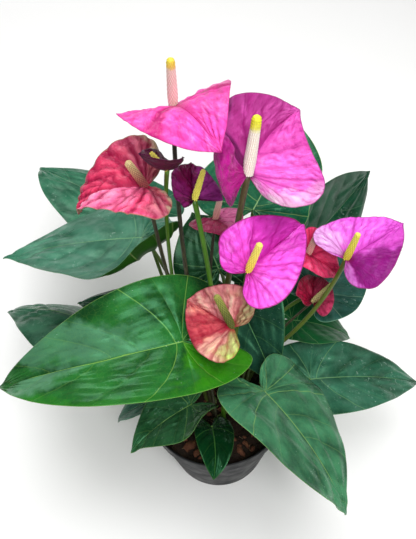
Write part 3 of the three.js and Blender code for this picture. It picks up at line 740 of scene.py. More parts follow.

# Patches are (half, place, reach, margin, colour, amount), as Finish.patches says. Some of them are
# painted light, painted sheen and painted shade, marked where they stand.
LeafLook = namedtuple("LeafLook", "dark light vein under rough dust patches", defaults=((),))
LEAF_LOOKS = {
    "front_left": LeafLook(0x123A1A, 0x28702E, 0x86B250, 0x4C7A34, 0.30, 0.10, (
        (1, 0.36, 0.2, 0, 0x3A9012, 0.85), (1, 0.6, 0.3, 16, 0x2A7E1C, 0.5),
        # the two pale bluish-grey patches on the next line are painted sheen
        (-1, 0.74, 0.11, 0, 0x568C6C, 0.6), (1, 0.84, 0.08, 0, 0x689A7C, 0.6),
    )),
    "front_right": LeafLook(0x204832, 0x42805A, 0x86AC60, 0x4C7A44, 0.34, 0.35, (
        (-1, 0.2, 0.16, 0, 0x1C5424, 0.5),
    )),
    "right": LeafLook(0x173F2B, 0x366C54, 0x6C9864, 0x4A7444, 0.34, 0.55),
    "young_front": LeafLook(0x03200E, 0x083418, 0x3E6C30, 0x3E6634, 0.28, 0.08),
    "low_left": LeafLook(0x163E22, 0x2C603A, 0x76A058, 0x46703C, 0.32, 0.35, (
        (1, 0.45, 0.2, 16, 0x2C5E1C, 0.5),
    )),
    "left": LeafLook(0x204634, 0x3A6A52, 0x749C64, 0x46703C, 0.36, 0.3),
    "upper_left": LeafLook(0x245642, 0x427C64, 0x6E9C68, 0x245C08, 0.4, 0.85),
    "back_left": LeafLook(0x184E38, 0x2E6E52, 0x84AC84, 0x4A7444, 0.4, 0.75),
    "back_right": LeafLook(0x042818, 0x0A4029, 0x6C9868, 0x46703C, 0.46, 0.4),
    "back": LeafLook(0x0A3F26, 0x1E6A4A, 0x98BC70, 0x4C7A44, 0.34, 0.25),
    "right_low": LeafLook(0x083A1C, 0x145E30, 0x6C9860, 0x46703C, 0.46, 0.1),
    "centre": LeafLook(0x08261A, 0x183F30, 0x5C8C50, 0x3C6030, 0.34, 0.2),
    "centre_back": LeafLook(0x062412, 0x0E4020, 0x6C985C, 0x3C6030, 0.34, 0.15),
    "sliver_left": LeafLook(0x0A3522, 0x1A583E, 0x7CA468, 0x46703C, 0.36, 0.3),
    "sliver_low": LeafLook(0x20463A, 0x3E6A5A, 0x86AC84, 0x4A7444, 0.42, 0.5),
    "grey_right": LeafLook(0x16402F, 0x33645A, 0x7CA484, 0x4A7444, 0.4, 0.6),
}

# Millimetres: rim_width, high (height of the bulges) and crinkle. The value after rough: how sharply
# the relief is ridged, and how strongly painted highlights on its crests and painted shade in its
# creases follow it.
SpatheLook = namedtuple(
    "SpatheLook",
    "main deep pale heart rim outer rim_width high crinkle rough carve patches",
    defaults=((),),
)
SPATHE_LOOKS = {
    "top": SpatheLook(
        0xF050B8, 0xC8186E, 0xFC98E2, 0x7A1838, 0xC43080, 0xA8487C, 0.5, 1.0, 0.4, 0.28, 0.15, (
        (0, 0.62, 0.2, 0, 0xE6489C, 0.5), (1, 0.34, 0.05, 0, 0xA01058, 0.9),
        (1, 0.62, 0.04, 0, 0xB01464, 0.85), (-1, 0.42, 0.05, 0, 0xA01058, 0.9),
        (-1, 0.68, 0.04, 0, 0xB01464, 0.85),
    )),
    "large": SpatheLook(
        0xEA5EC6, 0x98106E, 0xF89CE4, 0x4C0E24, 0x9A3A78, 0x9A4870, 0.5, 1.1, 0.7, 0.26, 0.3, (
        # first patch on the next line: painted shade on the upper left half, which faces away from the
        # light
        (1, 0.8, 0.28, 0, 0xA02C78, 0.85), (-1, 0.85, 0.16, 0, 0xC83C9C, 0.7),
        (1, 0.28, 0.33, 0, 0xB01080, 1.0), (1, 0.34, 0.26, 17, 0x660446, 0.9),
        # the narrow dark patch at 0.585 on the next line is painted shade along the valley line of the left
        # half
        (1, 0.585, 0.05, 0, 0x480838, 0.9), (-1, 0.32, 0.24, 32, 0xE0A4D2, 0.85),
        (-1, 0.22, 0.2, 9, 0xC8B0BC, 0.6),
    )),
    "left": SpatheLook(
        0xE64676, 0x8C0C38, 0xFA9CC2, 0xB01840, 0x97785A, 0x8A6A58, 0.6, 1.6, 1.9, 0.22, 0.8, (
        (-1, 0.72, 0.42, 0, 0xA81E44, 0.85), (-1, 0.52, 0.14, 0, 0xB05070, 0.6),
        (1, 0.8, 0.26, 0, 0xF074A8, 0.6), (1, 0.43, 0.1, 0, 0xB06878, 0.7),
        (-1, 0.27, 0.2, 0, 0x9C7068, 0.65), (-1, 0.3, 0.26, 9, 0x8A8468, 0.8),
        (1, 0.24, 0.16, 0, 0xC07C78, 0.55), (1, 0.27, 0.2, 8, 0xA8947C, 0.8),
    )),
    "centre": SpatheLook(
        0xEA50D2, 0xAE0C80, 0xFC94F2, 0xA0146C, 0x80203C, 0x9A4A70, 0.7, 1.5, 0.45, 0.26, 0.25, (
        (1, 0.8, 0.2, 0, 0xBC1C9C, 0.7), (-1, 0.45, 0.16, 0, 0xF86CE8, 0.6),
    )),
    "low": SpatheLook(
        0xD86E74, 0x980A28, 0xF6BCB2, 0xC01038, 0xA04048, 0x94905A, 0.5, 1.6, 0.9, 0.32, 0.55, (
        (-1, 0.3, 0.26, 0, 0xD2CA96, 0.85), (1, 0.7, 0.18, 0, 0xA81438, 0.8),
        (1, 0.48, 0.14, 0, 0xE8A89C, 0.75), (1, 0.2, 0.26, 0, 0xC0CA7E, 0.85),
        (1, 0.2, 0.2, 7, 0xAECE58, 0.85), (-1, 0.75, 0.3, 0, 0xF0A0A8, 0.55),
    )),
    "right": SpatheLook(
        0xE058D4, 0x900C74, 0xF290EE, 0x82184A, 0x8C3A6C, 0x94507C, 0.5, 1.4, 0.6, 0.24, 0.25, (
        (1, 0.4, 0.24, 0, 0xE0ACE2, 0.75), (-1, 0.84, 0.1, 0, 0xC040AE, 0.7),
        # the dark purple patch at 0.54 on the next line is partly the lower half's own deep purple, partly
        # painted shade
        (-1, 0.54, 0.28, 0, 0x720860, 0.95), (-1, 0.2, 0.18, 0, 0xB068AC, 0.85),
    )),
    "right_low": SpatheLook(
        0x9C1438, 0x54001A, 0xE06C90, 0x4A0818, 0xA04A5A, 0x6A3028, 0.5, 1.2, 0.4, 0.3, 0.45, (
        (-1, 0.5, 0.6, 0, 0xC84870, 0.6),
    )),
    "right_back": SpatheLook(
        0xF03C70, 0xA80C3C, 0xFA7CA8, 0x8E1430, 0xC02C58, 0x903048, 0.5, 1.2, 0.4, 0.34, 0.4,
    ),
    "dark": SpatheLook(
        0x6C0840, 0x340022, 0xA04890, 0x2A0418, 0x541048, 0x3C1430, 0.4, 1.5, 0.6, 0.16, 0.3, (
        # these lighter purple patches on the lobes are partly the lobes' own colour, partly painted sheen
        (-1, 0.55, 0.34, 0, 0xA83C9C, 0.85), (1, 0.5, 0.3, 0, 0x8E2474, 0.7),
    )),
    "small_dark": SpatheLook(
        0x520030, 0x2C0020, 0x68104A, 0x220314, 0x4C0C3A, 0x4A002C, 0.4, 0.8, 0.3, 0.32, 0.2,
    ),
    "middle_pink": SpatheLook(
        0xE070A8, 0x9C2050, 0xF4A8CC, 0x6A1030, 0xB03058, 0x3A3C0C, 0.5, 1.2, 0.3, 0.34, 0.4, (
        (-1, 0.55, 0.6, 0, 0x7A1030, 0.9),
    )),
}

# Flower stalks: radius in millimetres, colour at the foot, colour at the top.
STALK_LOOKS = {
    "top": (1.9, 0x2E2A1E, 0x241418),
    "large": (2.6, 0x44611F, 0x463822),
    "left": (1.7, 0x2E3A1E, 0x281A1A),
    "centre": (2.0, 0x48601F, 0x4E6A1F),
    "low": (2.0, 0x5A6A24, 0x6C7C30),
    "right": (2.0, 0x4C5E1F, 0x56661F),
    "right_low": (1.1, 0x2C2A1E, 0x30281E),
    "right_back": (1.5, 0x44501E, 0x4A5222),
    "dark": (2.1, 0x3A6A0C, 0x437812),
    "small_dark": (1.7, 0x456C18, 0x4C781E),
    "middle_pink": (1.4, 0x2A281C, 0x2C241A),
}

# Spadices: colour at the foot, colour at the tip, between the florets (partly their own tint, partly
# painted shade in the hollows), and the shares of the length over which the change runs.
SPADIX_LOOKS = {
    "top": (0xFAF2DC, 0xF6E848, 0xEEC0B2, 0.80, 0.86),
    "large": (0xFCFAEC, 0xECEC2C, 0xDCC4A4, 0.72, 0.82),
    "left": (0xB0605E, 0xECD89C, 0x5C1C28, 0.2, 1.0),
    "centre": (0xFCF464, 0xFCF67C, 0xE0CC3C, 0.2, 0.9),
    "low": (0x6A7030, 0xA0A44C, 0x444820, 0.3, 0.9),
    "right": (0xECDC50, 0xF2EA68, 0xC4B238, 0.2, 0.9),
    "right_low": (0xC8C084, 0xC0C878, 0x98905C, 0.3, 0.9),
    "right_back": (0xF0BCB0, 0xF4D8C8, 0xC88C84, 0.3, 0.9),
    "dark": (0xFCF870, 0xFCF878, 0xE4DA48, 0.2, 0.9),
    "small_dark": (0xB8AC4C, 0xD2C658, 0x8C8030, 0.2, 0.9),
    "middle_pink": (0xF2B8AE, 0xF8D8CC, 0xD08C86, 0.3, 0.9),
}

# What leaves and spathes differ in: veins of a half; bold veins, counted from the sinus; the range of
# strength of the others; wave of the margin in millimetres; shares of the usual row and column steps.
Kind = namedtuple("Kind", "outline veins bold weak wave row_share column_share")
LEAF = Kind(LEAF_OUTLINE, 12, [3, 5, 7], (0.15, 0.4), 1.3, 1, 1)
YOUNG_LEAF = LEAF._replace(outline=YOUNG_OUTLINE)
SPATHE = Kind(SPATHE_OUTLINE, 9, [], (0.4, 1.0), 0.6, 0.55, 0.7)
LEAF_RELIEF = 1.1  # height of a full leaf's bulges between its side veins
FULL_LEAF = 120  # from this length on a leaf has its full relief
FLATTER = {"centre": 0.35, "centre_back": 0.45, "right_low": 0.6, "young_front": 0.6}  # share of the relief
PETIOLE_STEPS = 48
PETIOLE_SIDES = 14
STALK_STEPS = 60
STALK_SIDES = 16
SPADIX_SIDES = 64
SPADIX_RINGS = 150
FLORET = 0.9  # height of a floret
FLORET_STEP = 2.2  # from one ring of florets to the next
FLORETS_ROUND = 1.6  # pairs of rows of florets for each millimetre of radius
DOME = 0.08  # share of a spadix that is its domed tip

# Single hollows and swellings: (half, share, place from midrib to margin, size, height), in millimetres.
DENTS = {
    "large": ((1, 0.47, 0.62, 13, 6), (1, 0.6, 0.7, 11, -9)),
    "front_left": ((1, 0.72, 0.45, 14, -3), (-1, 0.7, 0.4, 16, -2.5), (-1, 0.45, 0.5, 22, 2.5)),
}

# The photograph's frame and the camera that fits it, in pixels, degrees and millimetres.
FRAME_WIDTH = 416
FRAME_HEIGHT = 539
FOCAL_PIXELS = 650
CAMERA_AT = (-2, -292, 697)
CAMERA_PITCH = 52.5
CAMERA_ROLL = -3
SENSOR = 36

# Large pieces of bark that show beside the young leaf: x, y and half their length, in millimetres.
BIG_CHIPS = ((-28, -44, 8.5), (-34, -37, 5), (-22, -52, 5.5), (20, -53, 6), (26, -46, 4.5), (3, -38, 5))

PAPER_RADIUS = 3000
PAPER_FOOT = -3
PAPER_TOP = -0.2
PAPER_SIDES = 64
CLIP_END = 20  # metres
WORLD_STRENGTH = 0.14
LIGHTS = (
    # name, place, size (metres), power (watts)
    ("back_light", (-0.6, 1.5, 1.7), 1.3, 20),
    ("top_light", (0.4, 0.0, 2.2), 1.6, 26),
    ("front_light", (0.3, -1.3, 2.0), 1.2, 34),
)


def leaf_face(name, look):
    """The upper side: a dark and a light green by slow noise and along the side veins, painted highlights
    on the bulges between the veins, pale bold veins, a pale midrib and margin, and a film of residue
    with specks and scratches."""
    sheen = linear(LEAF_SHEEN)
    f = Finish("leaf_" + name, Roughness=look.rough, Specular_IOR_Level=0.34, Specular_Tint=sheen)
    vein, strong, rib, edge, hill = (f.value(key) for key in ("vein", "strong", "rib", "edge", "hill"))
    mottle = f.blend(f.noise(0.030, 3), 0.5, f.grain(1.6, 28), 0.5)
    body = f.mix(look.dark, look.light, f.step(mottle, 0.36, 0.62))
    # painted highlight: the green is lighter up on the bulges between the veins
    body = f.mix(body, look.light, f.step(hill, 0.1, 1.0, 0.0, 0.3))
    body = f.patches(body, look.patches)
    body = f.mix(body, look.dark, f.step(f.grain(6.0, 9), 0.5, 0.75, 0.0, 0.25))
    net = f.times(f.step(f.net(NET_CELL), 0.0, 0.07, 1.0, 0.0), 0.07)
    side = f.times(f.step(vein, 0.12, 0.55, 0.6, 0.0), strong)
    middle = f.step(rib, 0.3, 0.85, 0.8, 0.0)
    rim = f.step(edge, 0.12, 0.5, 0.55, 0.0)
    body = f.mix(body, look.vein, f.most(net, side, middle, rim))
    specks = f.times(f.step(f.noise(0.0016, 1), 0.73, 0.8), f.step(f.noise(0.03, 2), 0.5, 0.62))
    scratch = f.times(f.step(f.noise(0.004, 5, 0.75), 0.6, 0.65), f.step(f.noise(0.040, 2), 0.5, 0.6))
    haze = f.step(f.noise(0.018, 4, 0.65), 0.4, 0.75, 0.0, 0.2 * look.dust * look.dust)
    film = f.most(f.times(specks, 0.8), f.times(scratch, look.dust * 0.7), haze)
    f.set("Base Color", f.mix(body, RESIDUE, film))
    gloss = f.step(f.noise(0.014, 3), 0.3, 0.7, look.rough - 0.14, look.rough)
    f.set("Roughness", f.plus(f.times(film, 0.3), gloss))
    f.bump(f.blend(f.grain(5.0, 7), 0.6, f.noise(0.0022, 2), 0.25), 0.0004, 0.5)
    return f.material


def leaf_back(name, look):
    """The underside: a paler green with raised, lighter veins."""
    f = Finish("leaf_under_" + name, Roughness=0.42, Specular_IOR_Level=0.4)
    vein, strong, rib = (f.value(key) for key in ("vein", "strong", "rib"))
    body = f.mix(linear(look.under, 0.62), look.under, f.step(f.noise(0.02, 3), 0.3, 0.65))
    side = f.times(f.step(vein, 0.2, 0.8, 0.6, 0.0), f.most(strong, 0.35))
    f.set("Base Color", f.mix(body, UNDER_VEIN, f.most(side, f.step(rib, 0.6, 1.5, 0.9, 0.0))))
    f.bump(f.grain(4.0, 8), 0.0006, 0.5)
    return f.material


def stalk_finish(name, low, high):
    """A stalk: one colour at the foot and one at the top, with fine streaks along it and a dull gloss."""
    f = Finish(name, Roughness=0.4, Specular_IOR_Level=0.45)
    body = f.mix(low, high, f.step(f.value("reach"), 0.15, 0.95))
    streak = f.step(f.noise(0.0014, 3, stretch=(1.0, 1.0, 0.08)), 0.3, 0.75)
    body = f.mix(body, STALK_STREAK, f.times(streak, 0.12))
    shade = f.step(f.noise(0.02, 3, stretch=(1.0, 1.0, 0.5)), 0.5, 0.75, 0.0, 0.35)
    f.set("Base Color", f.mix(body, linear(low, 0.5), shade))
    f.bump(streak, 0.0003, 0.4)
    return f.material


def spathe_face(name, look):
    """The coloured side: main, pale and deep tones that run out with the veins like wet paint, painted
    highlights on the bulges and crests, painted shade in the creases and sunken veins, deep colour
    round the heart, and a waxy gloss."""
    carve = look.carve
    sheen = linear(look.pale)
    f = Finish("spathe_" + name, Roughness=look.rough, Specular_IOR_Level=0.4, Specular_Tint=sheen)
    vein, strong, rib, edge, reach, hill, fold = (
        f.value(key) for key in ("vein", "strong", "rib", "edge", "reach", "hill", "fold")
    )
    tone = f.blend(f.grain(1.7, 16, 4, 0.6), 0.6, f.noise(0.012, 4, 0.6), 0.4)
    body = f.mix(look.main, look.pale, f.step(tone, 0.5, 0.66, 0.0, 0.4))
    body = f.patches(body, look.patches)
    # painted highlights: lighter up on the bulges between the veins, and on the crests of the crinkles
    body = f.paint_highlight(body, f.step(hill, 0.25, 1.0, 0.0, 0.15 + 0.85 * carve))
    body = f.paint_highlight(body, f.step(fold, 0.05, 0.45, 0.0, 0.3 + 0.5 * carve))
    body = f.mix(body, look.deep, f.step(f.grain(3.2, 18, 4, 0.65), 0.5, 0.66, 0.0, 0.45))
    # painted shade: deep colour in the valleys of the crinkles
    body = f.mix(body, look.deep, f.step(fold, -0.7, 0.0, 0.2 + 0.65 * carve, 0.0))
    # a deeper band along the midrib: partly its own colour, partly painted shade in its groove
    body = f.mix(body, look.deep, f.step(rib, 0.0, 8.0, 0.3, 0.0))
    # the veins' own deeper colour; the more ridged the spathe, the wider and deeper the lines, as painted
    # shade in the sunken veins
    lines = f.step(vein, 0.1, 1.1 + 1.6 * carve, 0.4 + 0.45 * carve, 0.0)
    lines = f.times(lines, f.most(strong, carve))
    middle = f.step(rib, 0.15, 1.0, 0.85, 0.0)
    net = f.step(f.net(NET_CELL), 0.0, 0.1, 0.06, 0.0)
    body = f.mix(body, look.deep, f.most(lines, middle, net))
    body = f.mix(body, look.heart, f.step(reach, 2.0, 9.0, 0.8, 0.0))
    body = f.mix(body, look.rim, f.step(edge, look.rim_width * 0.4, look.rim_width * 1.4, 0.7, 0.0))
    f.set("Base Color", body)
    fine = f.blend(f.grain(7.0, 5, 3, 0.6), 0.9, f.noise(0.003, 3), 0.5)
    f.bump(fine, 0.0011 + 0.0012 * carve, 0.8)
    return f.material


def spathe_back(name, look):
    """The outer side: duller, with darker veins."""
    f = Finish("spathe_under_" + name, Roughness=0.42, Specular_IOR_Level=0.4)
    vein, strong, rib = (f.value(key) for key in ("vein", "strong", "rib"))
    body = f.mix(look.outer, look.main, f.step(f.noise(0.015, 3), 0.3, 0.7, 0.0, 0.35))
    lines = f.times(f.step(vein, 0.2, 1.2, 0.5, 0.0), strong)
    f.set("Base Color", f.mix(body, look.deep, f.most(lines, f.step(rib, 0.4, 1.6, 0.5, 0.0))))
    f.bump(f.grain(6.0, 6), 0.0006, 0.5)
    return f.material


def spadix_finish(name, look):
    """A spadix: foot and tip colours along its length, and between the florets a tint that is partly its
    own and partly painted shade in the hollows.
    """
    foot, tip, gap_tint_and_shade, start, end = look
    f = Finish("spadix_" + name, Roughness=0.5, Specular_IOR_Level=0.4)
    ragged = f.plus(f.value("reach"), f.step(f.noise(0.002, 2), 0.2, 0.8, -0.02, 0.02))
    body = f.mix(foot, tip, f.step(ragged, start, end))
    # partly the spadix's own tint, partly painted shade in the hollows between the florets
    between = f.step(f.value("floret"), 0.0, 0.5, 0.85, 0.0)
    between = f.times(between, f.step(ragged, end - 0.05, end + 0.1, 1.0, 0.3))
    f.set("Base Color", f.mix(body, gap_tint_and_shade, between))
    return f.material


def relief_of(name, grid, measures, spacing, veins, heights, wave, seed):
    """Height of a blade's middle surface above itself in millimetres, and how far up a bulge each point is.

    Between side veins it bulges: |sin(pi q)|^0.8 times a height of the bulge's own, held down near the
    midrib and the margin and where the veins are closer together than 10 mm. Crinkles are
    |sin(k pi q + ripple)| along the veins and half as much |sin(rib / 2.6 + ripple)| across them. k falls
    from 2.7 and the crossing ones fade as a blade is more ridged. A slow ripple adds unevenness, the
    midrib lies in a groove, the margin waves, and dents are Gaussian hills.
    """
    rib, q = measures["rib"], measures["count"]
    high, crinkle, ridged = heights
    rows, wide, _ = grid.shape
    signed = np.linspace(-1, 1, wide)[None] + np.zeros((rows, 1))
    t = np.abs(signed)
    share = np.linspace(0, 1, rows)[:, None] + np.zeros((1, wide))
    side = np.sign(signed) * HALVES_APART
    cell = np.minimum(q.astype(int), veins - 1)
    draw = np.random.default_rng(seed + 200).uniform(0.5, 1.35, (2, veins))
    own = np.where(signed > 0, draw[0][cell], draw[1][cell])
    close = np.clip(spacing / FREE_SPACING, 0, 1.3)
    window = smooth(0.0, 0.25, t) * (1 - 0.8 * smooth(0.72, 1.0, t)) * close
    hill = np.abs(np.sin(math.pi * q)) ** 0.8 * window * own
    slow = ripple(share * 1.3 + side, t * 1.2, seed)
    swell = slow * smooth(0.05, 0.5, t) * 0.6
    bends = (1.3 - 0.7 * ridged) * ripple(share + side, t, seed + 50)
    along = np.abs(np.sin(math.pi * (2.7 - 1.4 * ridged) * q + bends)) - 0.6
    across = np.abs(np.sin(rib / 2.6 + 1.8 * ripple(share * 2 + side, t, seed + 70, 8, 5.0))) - 0.6
    patchy = np.clip(0.6 + 0.6 * ripple(share * 2 + side, t * 1.5, seed + 80), 0, 1.3)
    patchy = patchy + (1 - patchy) * ridged
    folds = (along + 0.5 * (1 - ridged) * across) * patchy * close * smooth(0.05, 0.3, t)
    groove = 0.5 * np.exp(-(rib / 1.2) ** 2) * (1 - 0.6 * share)
    edging = wave * t ** 4 * ripple(share * 1.5 + side, 0 * t, seed + 90, 5)
    ends = smooth(0, 0.05, share) * smooth(0, 0.04, 1 - share)
    total = high * (hill + swell) + crinkle * folds - groove + edging * ends
    for half, at_share, at_t, size, lift in DENTS.get(name, ()):
        middle = grid[round(at_share * (rows - 1)), round((1 + half * at_t) / 2 * (wide - 1))]
        far = np.linalg.norm(grid - middle, axis=2)
        total = total + lift * np.exp(-(far / size) ** 2)
    return total, hill, folds


def blade_piece(part, kind, detail, thick, heights, seed, size=1):
    """The shape of a blade with its relief and the values that its materials read. Its rows are such that
    the side veins and the crests between them fall on rows."""
    step = detail.row_step / MM * kind.row_share
    rows = 2 * kind.veins * max(2, round(part["length"] * HALF_OUTLINE / step / (2 * kind.veins))) + 1
    columns = int(np.clip(part["width"] / 2 / (detail.column_step / MM * kind.column_share), *COLUMNS))
    shares = [uneven(rows, kind.veins, seed * 2 + k) for k in (0, 1)]
    grid = blade_grid(part, kind.outline, shares, columns)
    measures, spacing = blade_measures(grid, kind.veins)
    wave = kind.wave * size
    relief, hill, folds = relief_of(part["name"], grid, measures, spacing, kind.veins, heights, wave, seed)
    signed = np.linspace(-1, 1, 2 * columns + 1)[None] + np.zeros((rows, 1))
    strength = np.random.default_rng(seed + 300).uniform(*kind.weak, (2, kind.veins + 1))
    strength[:, kind.bold] = 1.0
    nearest = np.round(measures["count"]).astype(int)
    values = {
        **measures,
        "strong": np.where(signed > 0, strength[0][nearest], strength[1][nearest]),
        "hill": hill,
        "fold": folds,
        "side": signed,
        "share": np.linspace(0, 1, rows)[:, None] + 0 * signed,
        "reach": np.linalg.norm(grid - np.array(part["at"], float), axis=2),
    }
    return blade_shell(grid, thick, relief, values)


def spadix_shape(bloom):
    """A tapered spike, widest a third of the way up, with a domed tip. Florets stand in crossing spirals:
    the surface is raised by FLORET |cos((n a + k z) / 2) cos((n a - k z) / 2)|."""
    heading, pitch, length, base, tip = bloom["spadix"]
    axis = direction(heading, pitch)
    side = unit(np.cross(np.array([0.0, 1.0, 0.0]), axis))
    other = np.cross(axis, side)
    share = np.linspace(0, 1, SPADIX_RINGS)[:, None]
    angle = np.linspace(0, 2 * math.pi, SPADIX_SIDES, endpoint=False)[None]
    dome = np.sqrt(1 - np.clip((share - 1 + DOME) / DOME, 0, 0.995) ** 2)
    around = max(8, 2 * round(base * FLORETS_ROUND))
    along = math.pi * length / FLORET_STEP
    spirals = np.cos((around * angle + along * share) / 2) * np.cos((around * angle - along * share) / 2)
    floret = np.abs(spirals)
    swell = 1 - 0.16 * (1 - smooth(0, 0.25, share)) + 0.04 * np.sin(math.pi * share)
    radius = (base + (tip - base) * share) * dome * swell + FLORET * (floret - 0.5) * (0.4 + 0.6 * dome)
    foot = np.array(bloom["at"], float)
    points = foot + axis * share[..., None] * length
    points = points + side * (radius * np.cos(angle))[..., None]
    points = points + other * (radius * np.sin(angle))[..., None]
    shape = round_body(points, foot, foot + axis * (length + 0.1))
    shape.values["floret"] = np.concatenate([floret.ravel(), [0.5, 1]])
    return shape


def rounded(profile, radius, steps=4):
    """A profile with each inner corner replaced by a curve that starts and ends radius from it."""
    profile = [np.array(p, float) for p in profile]
    result = [profile[0]]
    for before, corner, after in zip(profile, profile[1:], profile[2:]):
        reach = min(radius, np.linalg.norm(before - corner) / 2, np.linalg.norm(after - corner) / 2)
        start = corner + unit(before - corner) * reach
        end = corner + unit(after - corner) * reach
        for t in np.linspace(0, 1, steps + 1):
            result.append((1 - t) ** 2 * start + 2 * t * (1 - t) * corner + t ** 2 * end)
    return result + [profile[-1]]


def drum(radius, low, high, sides):
    """A closed cylinder round the z axis."""
    return lathe([(0, low), (radius, low), (radius, high), (0, high)], sides)


class ANTHURIUM_OT_pot(Operator):
    """Turns the pot's wall with its band and lip, and cuts the drain holes"""

    bl_idname = "anthurium.pot"
    bl_label = "Pot"

    def execute(self, context):
        s = context.scene.anthurium_pot
        height, lip, base, wall = (v / MM for v in (s.height, s.lip, s.base, s.wall))
        foot = height - s.band / MM
        top = lip - s.step / MM - BAND_SPREAD
        outer = [
            (0, 0),
            (base, 0),
            (top, foot),
            (lip - 1, foot + 0.6),
            (lip, height - 1),
            (lip - 0.4, height),
        ]
        inner = [
            (lip - wall, height),
            (lip - wall - 0.6, foot + 2.6),
            (top - wall, foot),
            (base - wall, FLOOR),
            (0, FLOOR),
        ]
        shape = lathe(rounded(outer + inner, EDGE_ROUND), POT_SIDES)
        pot = add_piece("pot_shell", shape, [self.finish(s)], ("pot",))
        self.drill(pot, s)
        return {"FINISHED"}

    def finish(self, s):
        """Moulded plastic: faint dust, scuffs round the body and a slow change of gloss."""
        f = Finish("pot_plastic", Roughness=0.5, Specular_IOR_Level=0.18)
        dust = f.times(f.step(f.noise(0.02, 4, 0.65), 0.42, 0.75), 0.02)
        scuff = f.times(f.step(f.noise(0.006, 3, stretch=(0.25, 0.25, 3.0)), 0.62, 0.72), 0.03)
        f.set("Base Color", f.mix((*s.colour, 1.0), SCUFF, f.most(dust, scuff)))
        f.set("Roughness", f.step(f.noise(0.015, 3), 0.3, 0.7, 0.42, 0.62))
        f.bump(f.noise(0.0009, 2), 0.0002, 0.35)
        return f.material

    def drill(self, pot, s):
        """Cuts a ring of drain holes into the floor."""
        drills = []
        for angle in np.arange(s.holes) * 2 * math.pi / s.holes + math.pi / s.holes:
            x, y = s.circle / MM * math.cos(angle), s.circle / MM * math.sin(angle)
            drill = drum(s.hole / MM, -2 * FLOOR, 3 * FLOOR, HOLE_SIDES)
            drill.points = drill.points + np.array([x, y, 0])
            drills.append(drill)
        cutter = add_piece("drill", joined(drills), [pot.data.materials[0]])
        cut = pot.modifiers.new("holes", "BOOLEAN")
        cut.object = cutter
        cut.operation = "DIFFERENCE"
        cut.solver = "EXACT"
        graph = bpy.context.evaluated_depsgraph_get()
        whole = bpy.data.meshes.new_from_object(pot.evaluated_get(graph))
        pot.modifiers.clear()
        pot.data = whole
        bpy.data.objects.remove(cutter)
        if len(whole.vertices) < POT_SIDES:
            raise RuntimeError("The drain holes left no pot")


